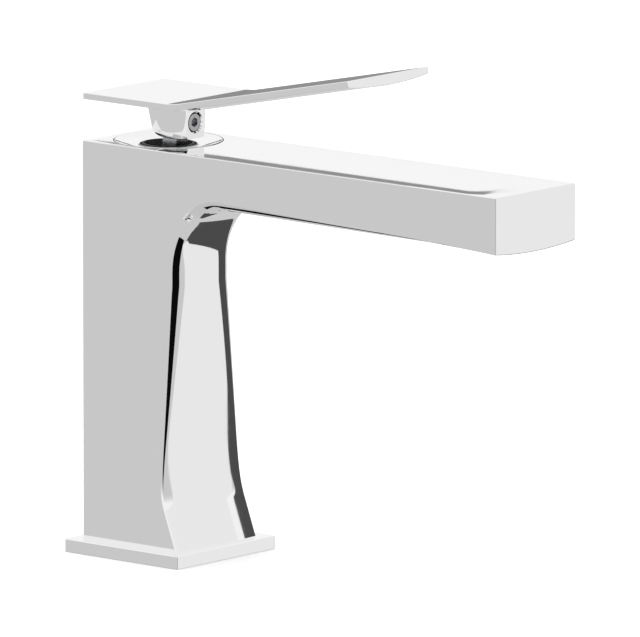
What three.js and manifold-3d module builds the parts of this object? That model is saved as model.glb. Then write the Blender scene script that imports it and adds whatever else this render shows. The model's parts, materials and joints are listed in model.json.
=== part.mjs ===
// Single-lever basin mixer with an L-shaped body, a flat lever and a square base plate.
// Millimetres. The column axis is the Z axis, the deck is Z = 0 and the spout points to -Y.

import * as THREE from 'three';
import { mergeVertices } from 'three/addons/utils/BufferGeometryUtils.js';
import Module from 'manifold-3d';

const wasm = await Module();
wasm.setup();

// Overall sizes of the body
const BODY_WIDTH = 42;
const BODY_HEIGHT = 143.5;
const BACK_DEPTH = 21;
const SPOUT_REACH = 164.3;
const CROWN = 1.2;
const SHARP_EDGE = 0.3;

// Column front: a flared foot, a knee and an upright stretch
const FOOT_DEPTH = 21.4;
const KNEE_DEPTH = 16.2;
const KNEE_RISE = 14;
const KNEE_LENGTH = 26.5;
const FLARE_LEAD = 0.36;
const KNEE_PULL = 0.45;

// Inner corner and spout underside
const FILLET_RADIUS = 23;
const SPOUT_THICKNESS = 18.5;
const TIP_THICKNESS = 19.7;
const TIP_DIP_LENGTH = 34;
const ROLL_START_RISE = 15.4;
const ROLL_COLUMN = 13;
const ROLL_SPOUT = 9.5;
const ROLL_FULL_RISE = 90;
const ROLL_END_BACK = 14;

// Base plate and its seal
const PLATE_SIDE = 51.4;
const PLATE_THICKNESS = 4.6;
const PLATE_SHIFT = -0.4;
const PLATE_CHAMFER = 0.5;
const SPIGOT_RADIUS = 17;
const SPIGOT_LIFT = 1;
const SEAL_INNER = 19.6;
const SEAL_OUTER = 22.4;
const SEAL_THICKNESS = 1.6;

// Fixing kit under a deck of usual thickness
const DECK_THICKNESS = 20;
const STUD_RADIUS = 4;
const STUD_DEPTH = 11.2;
const STUD_DROP = 55;
const STUD_GRIP = 14;
const STUD_HOLE_SPARE = 2;
const STUD_CHAMFER = 1;
const WASHER_RADIUS = 23;
const WASHER_GAP_WIDTH = 27;
const RUBBER_THICKNESS = 3;
const STEEL_THICKNESS = 2;
const NUT_WALL = 2.5;
const NUT_HEIGHT = 6.5;

// Hose space and inlets
const HOSE_THROAT_RADIUS = 14.5;
const HOSE_FRONT_WALL = 4.5;
const HOSE_SPACE_HALF = 16.4;
const HOSE_SPACE_CORNER = 5;
const HOSE_SPACE_FLOOR = 11;
const INLET_RADIUS = 4.6;
const INLET_SPACING = 15;
const INLET_BACK = 1.5;
const INLET_DEPTH = 8;
const CHAMBER_FLOOR = 14;

// Cartridge, from the chamber floor upwards
const CARTRIDGE_RADIUS = 12.6;
const CHAMBER_CLEARANCE = 0.4;
const CHAMBER_FRONT_WALL = 1.3;
const CHAMBER_DEPTH = 45.5;
const BASE_FLANGE_HEIGHT = 3;
const BASE_HEIGHT = 6.2;
const ANNULUS_WIDTH = 1.1;
const HOUSING_WALL = 1.2;
const HOUSING_HEAD_HEIGHT = 4.4;
const HOUSING_HEIGHT = 26.8;
const NECK_MARGIN = 6.5;
const NECK_WALL = 1.4;
const NECK_HEIGHT = 6;
const DISC_THICKNESS = 3.3;
const CARRIER_HEIGHT = 7.2;
const PORT_RADIUS = 2.2;
const PORT_SPACING = 10.4;
const PORT_FRONT = 2.2;
const OUTLET_PORT_BACK = 4.5;
const PORT_SEAL_WIDTH = 1.2;
const PORT_SEAL_HEIGHT = 1.5;
const MIXING_SLOT_RADIUS = 3.2;
const MIXING_SLOT_RIM = 1.8;
const MIXING_SLOT_DEPTH = 1.8;
const RING_SECTION = 0.8;

// Spindle, its guide and its pin
const SPINDLE_SIDE = 6;
const PIVOT_ABOVE_DISCS = 15.1;
const BALL_ARM = 9.5;
const BALL_RADIUS = 2.4;
const SPINDLE_NECK_RADIUS = 1.8;
const SPINDLE_ABOVE_PIVOT = 27.5;
const SPINDLE_BELOW_PIVOT = 4;
const REST_LEAN = 10;
const FULL_LIFT = 25;
const PIN_RADIUS = 1.2;
const GUIDE_FLANGE_HEIGHT = 2.7;
const GUIDE_RISE = 1.5;
const GUIDE_SLOT_MARGIN = 1.4;
const PIN_INSET = 0.6;

// Nut, limit ring and dished cover ring
const NUT_THREAD_MARGIN = 1.9;
const RETAINING_NUT_HEIGHT = 5.8;
const NUT_SLOT_WIDTH = 3;
const NUT_SLOT_DEPTH = 2;
const LIMIT_RING_WALL = 1;
const LIMIT_RING_HEIGHT = 5.4;
const LIMIT_RING_TEETH = 28;
const LIMIT_RING_TOOTH = 0.35;
const LIMIT_RING_INSET = 0.1;
const COVER_RADIUS = 18.7;
const COVER_HOLE_MARGIN = 0.4;
const COVER_DISH = 1.2;
const COVER_FLOOR_RADIUS = 13;
const COVER_WALL = 1;
const COVER_SKIRT_RADIUS = 16.8;
const COVER_SKIRT_WALL = 1.4;
const COVER_SKIRT_DROP = 4.3;
const COVER_RIM = 0.3;

// Lever plate and hub
const LEVER_WIDTH = 42;
const LEVER_LIFT = 16.6;
const LEVER_BACK = 20.55;
const LEVER_BEND = 20.05;
const LEVER_REACH = 98.96;
const LEVER_PITCH = 11.7;
const LEVER_EDGE = 2.24;
const LEVER_CROWN = 1.5;
const BEND_LENGTH = 3;
const HUB_FOOT_RADIUS = 9.07;
const HUB_FOOT_FRONT = 4.55;
const HUB_FOOT_LIFT = 1.6;
const HUB_HEAD_RADIUS = 10.07;
const HUB_HEAD_FRONT = 3.24;
const HUB_FLAT_FRONT = 12.3;
const HUB_HEEL = 3;
const GRUB_RADIUS = 3;
const GRUB_HEX = 3;
const GRUB_HEX_DEPTH = 2;
const GRUB_ABOVE_PIVOT = 24.6;
const GRUB_SINK = 0.4;

// Aerator under the spout tip
const AERATOR_BACK = 17.3;
const AERATOR_RADIUS = 11.7;
const AERATOR_HEIGHT = 8;
const AERATOR_WALL = 1.4;
const AERATOR_SINK = 0.6;
const AERATOR_SCREEN = 1;
const AERATOR_LEDGE = 1;
const AERATOR_LEDGE_HEIGHT = 1.2;
const SCREEN_PITCH = 3;
const SCREEN_SLOT = 1.4;
const SCREEN_RIM = 1.5;
const AERATOR_SEAT = 0.8;
const NOZZLE_DEPTH = 3;
const AERATOR_INSERT = 3.4;
const AERATOR_WASHER = 1.5;
const AERATOR_CELL = 2.1;
const AERATOR_CELL_WALL = 0.7;

// Waterway through the spout
const WATERWAY_WIDTH = 18;
const WATERWAY_WALL = 4.4;
const WATERWAY_MOUTH_SHARE = 0.6;
const WATERWAY_BEND_IN = 4.5;
const WATERWAY_BEND_RISE = 6.3;
const WATERWAY_BEND_OUT = 13;
const WATERWAY_ROOF_IN = 3;
const WATERWAY_ROOF_OUT = 6;
const WATERWAY_ROOF_DROP = 3.5;
const WATERWAY_LID_GAP = 0.5;
const WATERWAY_LAND = 3;

// Clearances
const THREAD_CLEARANCE = 0.3;
const FIT_CLEARANCE = 0.3;
const DISC_FILM = 0.1;

// Facets
const FINE = 48;
const COARSE = 32;
const SMALL = 20;
const ROLL_STEPS = 5;
const CROWN_STEPS = 6;

// Heights and depths worked out from the sizes above
const HALF_WIDTH = BODY_WIDTH / 2;
const CHAMBER_RADIUS = CARTRIDGE_RADIUS + CHAMBER_CLEARANCE;
const HOUSING_RADIUS = CHAMBER_RADIUS - ANNULUS_WIDTH;
const HOUSING_INNER = HOUSING_RADIUS - HOUSING_WALL;
const NECK_RADIUS = SPINDLE_SIDE / 2 + NECK_MARGIN;
const COVER_HOLE_RADIUS = NECK_RADIUS + COVER_HOLE_MARGIN;
const NUT_THREAD_RADIUS = CARTRIDGE_RADIUS + NUT_THREAD_MARGIN;
const UPRIGHT_DEPTH = CHAMBER_RADIUS + CHAMBER_FRONT_WALL;
const LEVER_TOP = BODY_HEIGHT + LEVER_LIFT;
const FOOT_Z = PLATE_THICKNESS;
const COVER_SEAT = BODY_HEIGHT - COVER_DISH - COVER_WALL - COVER_SKIRT_DROP;
const CHAMBER_Z = BODY_HEIGHT - CHAMBER_DEPTH;
const HOSE_CEILING = CHAMBER_Z - CHAMBER_FLOOR;
const DISC_Z = CHAMBER_Z + BASE_HEIGHT;
const MOVING_DISC_Z = DISC_Z + DISC_THICKNESS + DISC_FILM;
const CARRIER_Z = MOVING_DISC_Z + DISC_THICKNESS;
const HOUSING_TOP = DISC_Z + HOUSING_HEIGHT;
const NECK_TOP = HOUSING_TOP + NECK_HEIGHT;
const GUIDE_Z = CARRIER_Z + CARRIER_HEIGHT + FIT_CLEARANCE;
const GUIDE_TOP = NECK_TOP + GUIDE_RISE;
const GUIDE_RADIUS = NECK_RADIUS - NECK_WALL - FIT_CLEARANCE;
const GUIDE_FLANGE_RADIUS = HOUSING_INNER - FIT_CLEARANCE;
const PIVOT_Z = CARRIER_Z + PIVOT_ABOVE_DISCS;
const BALL_REST = BALL_ARM * Math.sin(THREE.MathUtils.degToRad(REST_LEAN));
const BALL_REACH = BALL_ARM * Math.sin(THREE.MathUtils.degToRad(FULL_LIFT - REST_LEAN));
const MOVING_DISC_RADIUS = HOUSING_INNER - BALL_REACH - 1.5 * FIT_CLEARANCE;
const NUT_BORE_RADIUS = NUT_THREAD_RADIUS + THREAD_CLEARANCE;
const COVER_BORE_RADIUS = COVER_RADIUS + FIT_CLEARANCE;
const AERATOR_Y = -SPOUT_REACH + AERATOR_BACK;
const AERATOR_Z = BODY_HEIGHT - TIP_THICKNESS + AERATOR_SINK;
const AERATOR_CEILING = AERATOR_Z + AERATOR_HEIGHT + AERATOR_WASHER;
const FILLET_Y = -UPRIGHT_DEPTH - FILLET_RADIUS;
const FILLET_Z = BODY_HEIGHT - SPOUT_THICKNESS - FILLET_RADIUS;

const FINISHES = {
  chrome: { color: 0xe6e8ea, roughness: 0.06, metalness: 1 },
  steel: { color: 0xb8babd, roughness: 0.3, metalness: 1 },
  brass: { color: 0xc8a35a, roughness: 0.35, metalness: 1 },
  rubber: { color: 0x1d1d1f, roughness: 0.85, metalness: 0 },
  greyPlastic: { color: 0x6e7276, roughness: 0.5, metalness: 0 },
  whitePlastic: { color: 0xe9e9e6, roughness: 0.45, metalness: 0 },
  ceramic: { color: 0xf3f1ec, roughness: 0.2, metalness: 0 },
};

const degrees = THREE.MathUtils.degToRad;

// Makes a joinable solid from a closed three.js surface.
function solidOf(geometry) {
  const bare = geometry.clone();
  bare.deleteAttribute('normal');
  bare.deleteAttribute('uv');
  const welded = mergeVertices(bare);
  const corners = welded.index.array;
  const kept = [];
  for (let at = 0; at < corners.length; at += 3) {
    const [a, b, c] = corners.slice(at, at + 3);
    if (a !== b && b !== c && c !== a) {
      kept.push(a, b, c);
    }
  }
  const vertProperties = welded.attributes.position.array;
  return new wasm.Manifold(new wasm.Mesh({
    numProp: 3,
    vertProperties,
    triVerts: Uint32Array.from(kept),
  }));
}

function geometryOf(solid) {
  const mesh = solid.getMesh();
  const geometry = new THREE.BufferGeometry();
  geometry.setAttribute('position', new THREE.BufferAttribute(mesh.vertProperties, 3));
  geometry.setIndex(new THREE.BufferAttribute(mesh.triVerts, 1));
  geometry.computeVertexNormals();
  return geometry;
}

function joined(solids) {
  return solids.reduce((whole, next) => whole.add(next));
}

function cut(solid, tools) {
  return tools.reduce((rest, tool) => rest.subtract(tool), solid);
}

// A closed skin through rings of points. Each ring is convex, and all have as many points.
function loft(rings) {
  const count = rings[0].length;
  const last = (rings.length - 1) * count;
  const index = [];
  for (let ring = 0; ring < rings.length - 1; ring += 1) {
    for (let side = 0; side < count; side += 1) {
      const near = ring * count + side;
      const next = ring * count + (side + 1) % count;
      index.push(near, next, next + count, near, next + count, near + count);
    }
  }
  for (let side = 1; side < count - 1; side += 1) {
    index.push(0, side + 1, side, last, last + side, last + side + 1);
  }
  const positions = rings.flat().flatMap((point) => point.toArray());
  const geometry = new THREE.BufferGeometry();
  geometry.setAttribute('position', new THREE.Float32BufferAttribute(positions, 3));
  geometry.setIndex(index);
  return solidOf(geometry);
}

// A turned piece about the upright axis through x, y. The profile lists radius and height.
function turned(profile, segments = COARSE, x = 0, y = 0) {
  const points = profile.map(([radius, z]) => new THREE.Vector2(radius, z));
  const geometry = new THREE.LatheGeometry([...points, points[0]], segments);
  return solidOf(geometry.rotateX(Math.PI / 2).translate(x, y, 0));
}

function ring(inner, outer, low, high, segments = COARSE, x = 0, y = 0) {
  const profile = [[inner, low], [outer, low], [outer, high], [inner, high]];
  return turned(profile, segments, x, y);
}

function rod(radius, low, high, x = 0, y = 0, segments = COARSE) {
  const geometry = new THREE.CylinderGeometry(radius, radius, high - low, segments);
  return solidOf(geometry.rotateX(Math.PI / 2).translate(x, y, (low + high) / 2));
}

function block([x0, x1], [y0, y1], [z0, z1]) {
  const geometry = new THREE.BoxGeometry(x1 - x0, y1 - y0, z1 - z0);
  return solidOf(geometry.translate((x0 + x1) / 2, (y0 + y1) / 2, (z0 + z1) / 2));
}

// A prism that stands on an outline drawn in X and Y.
function upright(shape, low, high, curveSegments = 8) {
  const options = { depth: high - low, bevelEnabled: false, curveSegments };
  return solidOf(new THREE.ExtrudeGeometry(shape, options).translate(0, 0, low));
}

// A prism across the width whose outline lists depth Y and height Z.
function across(outline, width) {
  const shape = new THREE.Shape(outline.map(([y, z]) => new THREE.Vector2(y, z)));
  const geometry = new THREE.ExtrudeGeometry(shape, { depth: width, bevelEnabled: false });
  const turn = new THREE.Matrix4().makeBasis(
    new THREE.Vector3(0, 1, 0),
    new THREE.Vector3(0, 0, 1),
    new THREE.Vector3(1, 0, 0),
  );
  return solidOf(geometry.translate(0, 0, -width / 2).applyMatrix4(turn));
}

function polygon(sides, radius, turn = 0) {
  const corners = Array.from({ length: sides }, (_, corner) => {
    const angle = turn + (2 * Math.PI * corner) / sides;
    return new THREE.Vector2(radius * Math.cos(angle), radius * Math.sin(angle));
  });
  return new THREE.Shape(corners);
}

// One slice, from a flat side at `from` to a crowned side at `to`. The flanks are parallel and
// roll into the crowned side with the given radius. Both places are (Y, Z) pairs.
function slice(from, to, halfWidth, crown, roll) {
  const depth = from.distanceTo(to) + crown;
  const along = to.clone().sub(from).normalize();
  const crownRadius = (halfWidth ** 2 + crown ** 2) / (2 * crown);
  const crownCentre = depth - crownRadius;
  const meet = Math.asin((halfWidth - roll) / (crownRadius - roll));
  const rollCentre = crownCentre + (crownRadius - roll) * Math.cos(meet);
  const flank = [[halfWidth, 0]];
  for (let step = 0; step <= ROLL_STEPS; step += 1) {
    const angle = (step / ROLL_STEPS) * (Math.PI / 2 - meet);
    flank.push([
      halfWidth - roll + roll * Math.cos(angle),
      rollCentre + roll * Math.sin(angle),
    ]);
  }
  const middle = [];
  for (let step = 1; step < CROWN_STEPS; step += 1) {
    const angle = meet * (1 - (2 * step) / CROWN_STEPS);
    middle.push([crownRadius * Math.sin(angle), crownCentre + crownRadius * Math.cos(angle)]);
  }
  const mirrored = flank.map(([x, t]) => [-x, t]).reverse();
  return [...flank, ...middle, ...mirrored].reverse().map(([x, t]) => new THREE.Vector3(
    x,
    from.x + along.x * t,
    from.y + along.y * t,
  ));
}

// The front edge of the column: straight flare, smooth knee, then upright.
function columnFront() {
  const foot = new THREE.Vector2(-FOOT_DEPTH, FOOT_Z);
  const knee = new THREE.Vector2(-KNEE_DEPTH, FOOT_Z + KNEE_RISE);
  const top = new THREE.Vector2(-UPRIGHT_DEPTH, knee.y + KNEE_LENGTH);
  const flare = knee.clone().sub(foot).multiplyScalar(FLARE_LEAD);
  const bend = new THREE.CubicBezierCurve(
    knee,
    knee.clone().add(flare),
    new THREE.Vector2(top.x, top.y - KNEE_LENGTH * KNEE_PULL),
    top,
  );
  return [foot, ...bend.getPoints(6)];
}

function lerp(from, to, share) {
  return THREE.MathUtils.lerp(from, to, THREE.MathUtils.clamp(share, 0, 1));
}

function columnRoll(z) {
  const start = FOOT_Z + ROLL_START_RISE;
  const full = FOOT_Z + ROLL_FULL_RISE;
  return lerp(SHARP_EDGE, ROLL_COLUMN, (z - start) / (full - start));
}

function spoutRoll(y) {
  const end = -SPOUT_REACH + ROLL_END_BACK;
  return lerp(ROLL_SPOUT, SHARP_EDGE, (y - FILLET_Y) / (end - FILLET_Y));
}

function spoutUnderside(y) {
  const dip = Math.max(0, (TIP_DIP_LENGTH - SPOUT_REACH - y) / TIP_DIP_LENGTH);
  return BODY_HEIGHT - SPOUT_THICKNESS - (TIP_THICKNESS - SPOUT_THICKNESS) * dip ** 2;
}

// The outer skin: level slices up the column, a fan round the corner, upright slices out to the tip.
function bodySkin() {
  const slices = [];
  const add = (from, to, roll) => slices.push(slice(from, to, HALF_WIDTH, CROWN, roll));
  const front = columnFront();
  const kneeTop = front[front.length - 1].y;
  for (const edge of front) {
    add(new THREE.Vector2(BACK_DEPTH, edge.y), edge, columnRoll(edge.y));
  }
  for (let step = 1; step <= 5; step += 1) {
    const z = lerp(kneeTop, FILLET_Z, step / 5);
    const edge = new THREE.Vector2(-UPRIGHT_DEPTH, z);
    add(new THREE.Vector2(BACK_DEPTH, z), edge, columnRoll(z));
  }
  const cornerY = BACK_DEPTH - FILLET_Y;
  const cornerZ = BODY_HEIGHT - FILLET_Z;
  const cornerAngle = Math.atan2(cornerZ, cornerY);
  const rightAngle = Math.PI / 2;
  const fan = [1, 2, 3].map((step) => (cornerAngle * step) / 3);
  fan.push(...[1, 2, 3, 4, 5].map((step) => lerp(cornerAngle, rightAngle, step / 5)));
  for (const angle of fan) {
    const ray = new THREE.Vector2(Math.cos(angle), Math.sin(angle));
    const reach = Math.min(cornerY / Math.max(ray.x, 1e-6), cornerZ / ray.y);
    const centre = new THREE.Vector2(FILLET_Y, FILLET_Z);
    const from = centre.clone().addScaledVector(ray, reach);
    const to = centre.clone().addScaledVector(ray, FILLET_RADIUS);
    add(from, to, lerp(ROLL_COLUMN, ROLL_SPOUT, angle / rightAngle));
  }
  const rollEnd = -SPOUT_REACH + ROLL_END_BACK;
  const stations = [1, 2, 3, 4, 5, 6].map((step) => lerp(FILLET_Y, rollEnd, step / 6));
  stations.push((rollEnd - SPOUT_REACH) / 2, -SPOUT_REACH);
  for (const y of stations) {
    add(new THREE.Vector2(y, BODY_HEIGHT), new THREE.Vector2(y, spoutUnderside(y)), spoutRoll(y));
  }
  return loft(slices);
}

// Centres of the hot and cold ports, hot on the -X side.
function portPlaces() {
  return [-1, 1].map((side) => [(side * PORT_SPACING) / 2, -PORT_FRONT]);
}

function roundedSquare(half, front, corner) {
  const shape = new THREE.Shape();
  shape.moveTo(-half + corner, -front);
  shape.lineTo(half - corner, -front);
  shape.absarc(half - corner, -front + corner, corner, -Math.PI / 2, 0);
  shape.lineTo(half, half - corner);
  shape.absarc(half - corner, half - corner, corner, 0, Math.PI / 2);
  shape.lineTo(-half + corner, half);
  shape.absarc(-half + corner, half - corner, corner, Math.PI / 2, Math.PI);
  shape.lineTo(-half, -front + corner);
  shape.absarc(-half + corner, -front + corner, corner, Math.PI, 1.5 * Math.PI);
  return shape;
}

// The space in the column that the hoses come up through, open at the bottom.
function hoseSpace() {
  const half = HOSE_THROAT_RADIUS + 1;
  const frontCut = block([-half, half], [-half, -HOSE_FRONT_WALL], [0, HOSE_CEILING]);
  const throat = rod(HOSE_THROAT_RADIUS, 0, HOSE_SPACE_FLOOR + 1).subtract(frontCut);
  const outline = roundedSquare(HOSE_SPACE_HALF, HOSE_FRONT_WALL, HOSE_SPACE_CORNER);
  return throat.add(upright(outline, HOSE_SPACE_FLOOR, HOSE_CEILING, 4));
}

function inletBores() {
  return [-1, 1].map((side, index) => {
    const [portX, portY] = portPlaces()[index];
    const inletX = (side * INLET_SPACING) / 2;
    const inletTop = HOSE_CEILING + INLET_DEPTH;
    const thread = rod(INLET_RADIUS, HOSE_CEILING - 1, inletTop, inletX, INLET_BACK);
    return thread.add(rod(PORT_RADIUS, inletTop - 1, CHAMBER_Z + 1, portX, portY));
  });
}

// Mixed water leaves the chamber at the front and runs along the spout to the aerator.
function waterway() {
  const low = BODY_HEIGHT - SPOUT_THICKNESS + WATERWAY_WALL - CROWN;
  const high = BODY_HEIGHT - WATERWAY_WALL;
  const mouthLow = FILLET_Z + FILLET_RADIUS / 2;
  const mouthHigh = HOUSING_TOP - HOUSING_HEAD_HEIGHT - WATERWAY_LID_GAP;
  const rise = AERATOR_Y + AERATOR_RADIUS + 2;
  const end = AERATOR_Y - AERATOR_RADIUS + WATERWAY_LAND;
  const drop = AERATOR_CEILING + NOZZLE_DEPTH / 2;
  const inside = -CHAMBER_RADIUS * WATERWAY_MOUTH_SHARE;
  const wall = -CHAMBER_RADIUS + 1;
  return across([
    [inside, mouthLow],
    [wall, mouthLow],
    [-CHAMBER_RADIUS - WATERWAY_BEND_IN, mouthLow + WATERWAY_BEND_RISE],
    [-CHAMBER_RADIUS - WATERWAY_BEND_OUT, low],
    [rise + 4, low],
    [rise, drop],
    [end, drop],
    [end, high],
    [-COVER_BORE_RADIUS - WATERWAY_ROOF_OUT, high],
    [-COVER_BORE_RADIUS - WATERWAY_ROOF_IN, high - WATERWAY_ROOF_DROP],
    [-NUT_BORE_RADIUS - WATERWAY_ROOF_IN, mouthHigh + 2],
    [wall, mouthHigh],
    [inside, mouthHigh],
  ], WATERWAY_WIDTH);
}

function bodyCasting() {
  const spigot = rod(SPIGOT_RADIUS, SPIGOT_LIFT, FOOT_Z + 1, 0, 0, FINE);
  const studTop = SPIGOT_LIFT + STUD_GRIP + STUD_HOLE_SPARE;
  const socket = AERATOR_RADIUS + THREAD_CLEARANCE;
  const socketLow = AERATOR_Z - AERATOR_SINK - CROWN - 1;
  const nozzle = AERATOR_RADIUS - AERATOR_WALL - AERATOR_SEAT;
  return cut(bodySkin().add(spigot), [
    rod(COVER_BORE_RADIUS, COVER_SEAT, BODY_HEIGHT + 1, 0, 0, FINE),
    rod(NUT_BORE_RADIUS, HOUSING_TOP - 0.1, COVER_SEAT + 1, 0, 0, FINE),
    rod(CHAMBER_RADIUS, CHAMBER_Z, HOUSING_TOP, 0, 0, FINE),
    waterway(),
    rod(socket, socketLow, AERATOR_CEILING, 0, AERATOR_Y, FINE),
    rod(nozzle, AERATOR_CEILING - 1, AERATOR_CEILING + NOZZLE_DEPTH, 0, AERATOR_Y),
    hoseSpace(),
    ...inletBores(),
    rod(STUD_RADIUS + THREAD_CLEARANCE, 0, studTop, 0, -STUD_DEPTH),
  ]);
}

function basePlate() {
  const half = PLATE_SIDE / 2;
  const outline = (side) => [[side, -side], [side, side], [-side, side], [-side, -side]];
  const level = (side, z) => outline(side).map(([x, y]) => (
    new THREE.Vector3(x, y + PLATE_SHIFT, z)
  ));
  const slab = loft([
    level(half, 0),
    level(half, PLATE_THICKNESS - PLATE_CHAMFER),
    level(half - PLATE_CHAMFER, PLATE_THICKNESS),
  ]);
  const gap = FIT_CLEARANCE;
  return cut(slab, [
    rod(SPIGOT_RADIUS + gap, -1, PLATE_THICKNESS + 1, 0, 0, FINE),
    ring(SEAL_INNER - gap, SEAL_OUTER + gap, -1, SEAL_THICKNESS + gap, FINE),
  ]);
}

function baseSeal() {
  return ring(SEAL_INNER, SEAL_OUTER, 0, SEAL_THICKNESS, FINE);
}

// A threaded rod drawn as its outside diameter, with a chamfer at each end.
function mountingStud() {
  const low = -STUD_DROP;
  const high = SPIGOT_LIFT + STUD_GRIP;
  const tip = STUD_RADIUS - STUD_CHAMFER;
  return turned([
    [0, low], [tip, low], [STUD_RADIUS, low + STUD_CHAMFER],
    [STUD_RADIUS, high - STUD_CHAMFER], [tip, high], [0, high],
  ], COARSE, 0, -STUD_DEPTH);
}

// A disc that is open at the back, so that it slips round the hoses.
function horseshoe(low, high) {
  const far = WASHER_RADIUS + 1;
  const gap = WASHER_GAP_WIDTH / 2;
  const stud = STUD_RADIUS + THREAD_CLEARANCE;
  return cut(rod(WASHER_RADIUS, low, high, 0, 0, FINE), [
    block([-gap, gap], [-HOSE_FRONT_WALL, far], [low - 1, high + 1]),
    rod(stud, low - 1, high + 1, 0, -STUD_DEPTH),
  ]);
}

function studNut(high) {
  const low = high - NUT_HEIGHT;
  const bore = rod(STUD_RADIUS + THREAD_CLEARANCE, low - 1, high + 1);
  const corner = (2 * (STUD_RADIUS + NUT_WALL)) / Math.sqrt(3);
  const nut = upright(polygon(6, corner), low, high).subtract(bore);
  return geometryOf(nut).translate(0, -STUD_DEPTH, 0);
}

function cartridgeBase() {
  const flangeTop = CHAMBER_Z + BASE_FLANGE_HEIGHT;
  const body = turned([
    [0, CHAMBER_Z], [CARTRIDGE_RADIUS, CHAMBER_Z], [CARTRIDGE_RADIUS, flangeTop],
    [HOUSING_RADIUS, flangeTop], [HOUSING_RADIUS, DISC_Z], [0, DISC_Z],
  ], FINE);
  const sealRadius = PORT_RADIUS + PORT_SEAL_WIDTH + FIT_CLEARANCE;
  const ports = portPlaces().flatMap(([x, y]) => [
    rod(PORT_RADIUS, CHAMBER_Z - 1, DISC_Z + 1, x, y, SMALL),
    rod(sealRadius, CHAMBER_Z - 1, CHAMBER_Z + PORT_SEAL_HEIGHT, x, y, SMALL),
    rod(sealRadius, DISC_Z - PORT_SEAL_HEIGHT, DISC_Z + 1, x, y, SMALL),
  ]);
  const window = block(
    [-PORT_RADIUS, PORT_RADIUS],
    [OUTLET_PORT_BACK, CHAMBER_RADIUS],
    [flangeTop, DISC_Z - PORT_SEAL_HEIGHT - FIT_CLEARANCE],
  );
  return cut(body, [
    ...ports,
    window,
    rod(PORT_RADIUS, flangeTop, DISC_Z + 1, 0, OUTLET_PORT_BACK, SMALL),
    rod(sealRadius, DISC_Z - PORT_SEAL_HEIGHT, DISC_Z + 1, 0, OUTLET_PORT_BACK, SMALL),
  ]);
}

function portSeal(x, y, low) {
  return ring(PORT_RADIUS, PORT_RADIUS + PORT_SEAL_WIDTH, low, low + PORT_SEAL_HEIGHT, SMALL, x, y);
}

function fixedDisc() {
  const radius = HOUSING_INNER - FIT_CLEARANCE;
  const top = DISC_Z + DISC_THICKNESS;
  const places = [...portPlaces(), [0, OUTLET_PORT_BACK]];
  const ports = places.map(([x, y]) => rod(PORT_RADIUS, DISC_Z - 1, top + 1, x, y, SMALL));
  return cut(rod(radius, DISC_Z, top, 0, 0, FINE), ports);
}

// The moving disc carries a slot in its underside that joins the ports when it slides forward.
function movingDisc() {
  const slotTop = MOVING_DISC_Z + MIXING_SLOT_DEPTH;
  const half = MOVING_DISC_RADIUS - MIXING_SLOT_RIM - MIXING_SLOT_RADIUS;
  const low = MOVING_DISC_Z - 1;
  const back = OUTLET_PORT_BACK;
  const reach = MIXING_SLOT_RADIUS;
  const slot = joined([
    rod(reach, low, slotTop, -half, back),
    rod(reach, low, slotTop, half, back),
    block([-half, half], [back - reach, back + reach], [low, slotTop]),
  ]);
  const disc = rod(MOVING_DISC_RADIUS, MOVING_DISC_Z, CARRIER_Z, 0, BALL_REST, FINE);
  return disc.subtract(slot);
}

// The carrier is fixed on the moving disc and takes the ball of the spindle in a pocket.
function discCarrier() {
  const top = CARRIER_Z + CARRIER_HEIGHT;
  const ballZ = PIVOT_Z - BALL_ARM;
  const pocketFloor = ballZ - BALL_RADIUS - 2 * FIT_CLEARANCE;
  const pocket = rod(BALL_RADIUS + FIT_CLEARANCE, pocketFloor, top + 1, 0, BALL_REST);
  return rod(MOVING_DISC_RADIUS, CARRIER_Z, top, 0, BALL_REST, FINE).subtract(pocket);
}

function cartridgeHousing() {
  const headLow = HOUSING_TOP - HOUSING_HEAD_HEIGHT;
  const groove = CHAMBER_RADIUS - 2 * RING_SECTION - 2 * FIT_CLEARANCE;
  const middle = (headLow + HOUSING_TOP) / 2;
  const reach = RING_SECTION + FIT_CLEARANCE;
  const shoulder = GUIDE_Z + GUIDE_FLANGE_HEIGHT + FIT_CLEARANCE;
  return turned([
    [HOUSING_INNER, DISC_Z], [HOUSING_RADIUS, DISC_Z], [HOUSING_RADIUS, headLow],
    [CARTRIDGE_RADIUS, headLow], [CARTRIDGE_RADIUS, middle - reach],
    [groove, middle - reach], [groove, middle + reach],
    [CARTRIDGE_RADIUS, middle + reach], [CARTRIDGE_RADIUS, HOUSING_TOP],
    [NECK_RADIUS, HOUSING_TOP], [NECK_RADIUS, NECK_TOP],
    [NECK_RADIUS - NECK_WALL, NECK_TOP], [NECK_RADIUS - NECK_WALL, shoulder],
    [HOUSING_INNER, shoulder],
  ], FINE);
}

function housingRing() {
  const centreZ = HOUSING_TOP - HOUSING_HEAD_HEIGHT / 2;
  const centreRadius = CHAMBER_RADIUS - RING_SECTION - 0.1;
  const profile = Array.from({ length: 8 }, (_, corner) => {
    const angle = (2 * Math.PI * corner) / 8;
    return [
      centreRadius + RING_SECTION * Math.cos(angle),
      centreZ + RING_SECTION * Math.sin(angle),
    ];
  });
  return turned(profile, COARSE);
}

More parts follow.
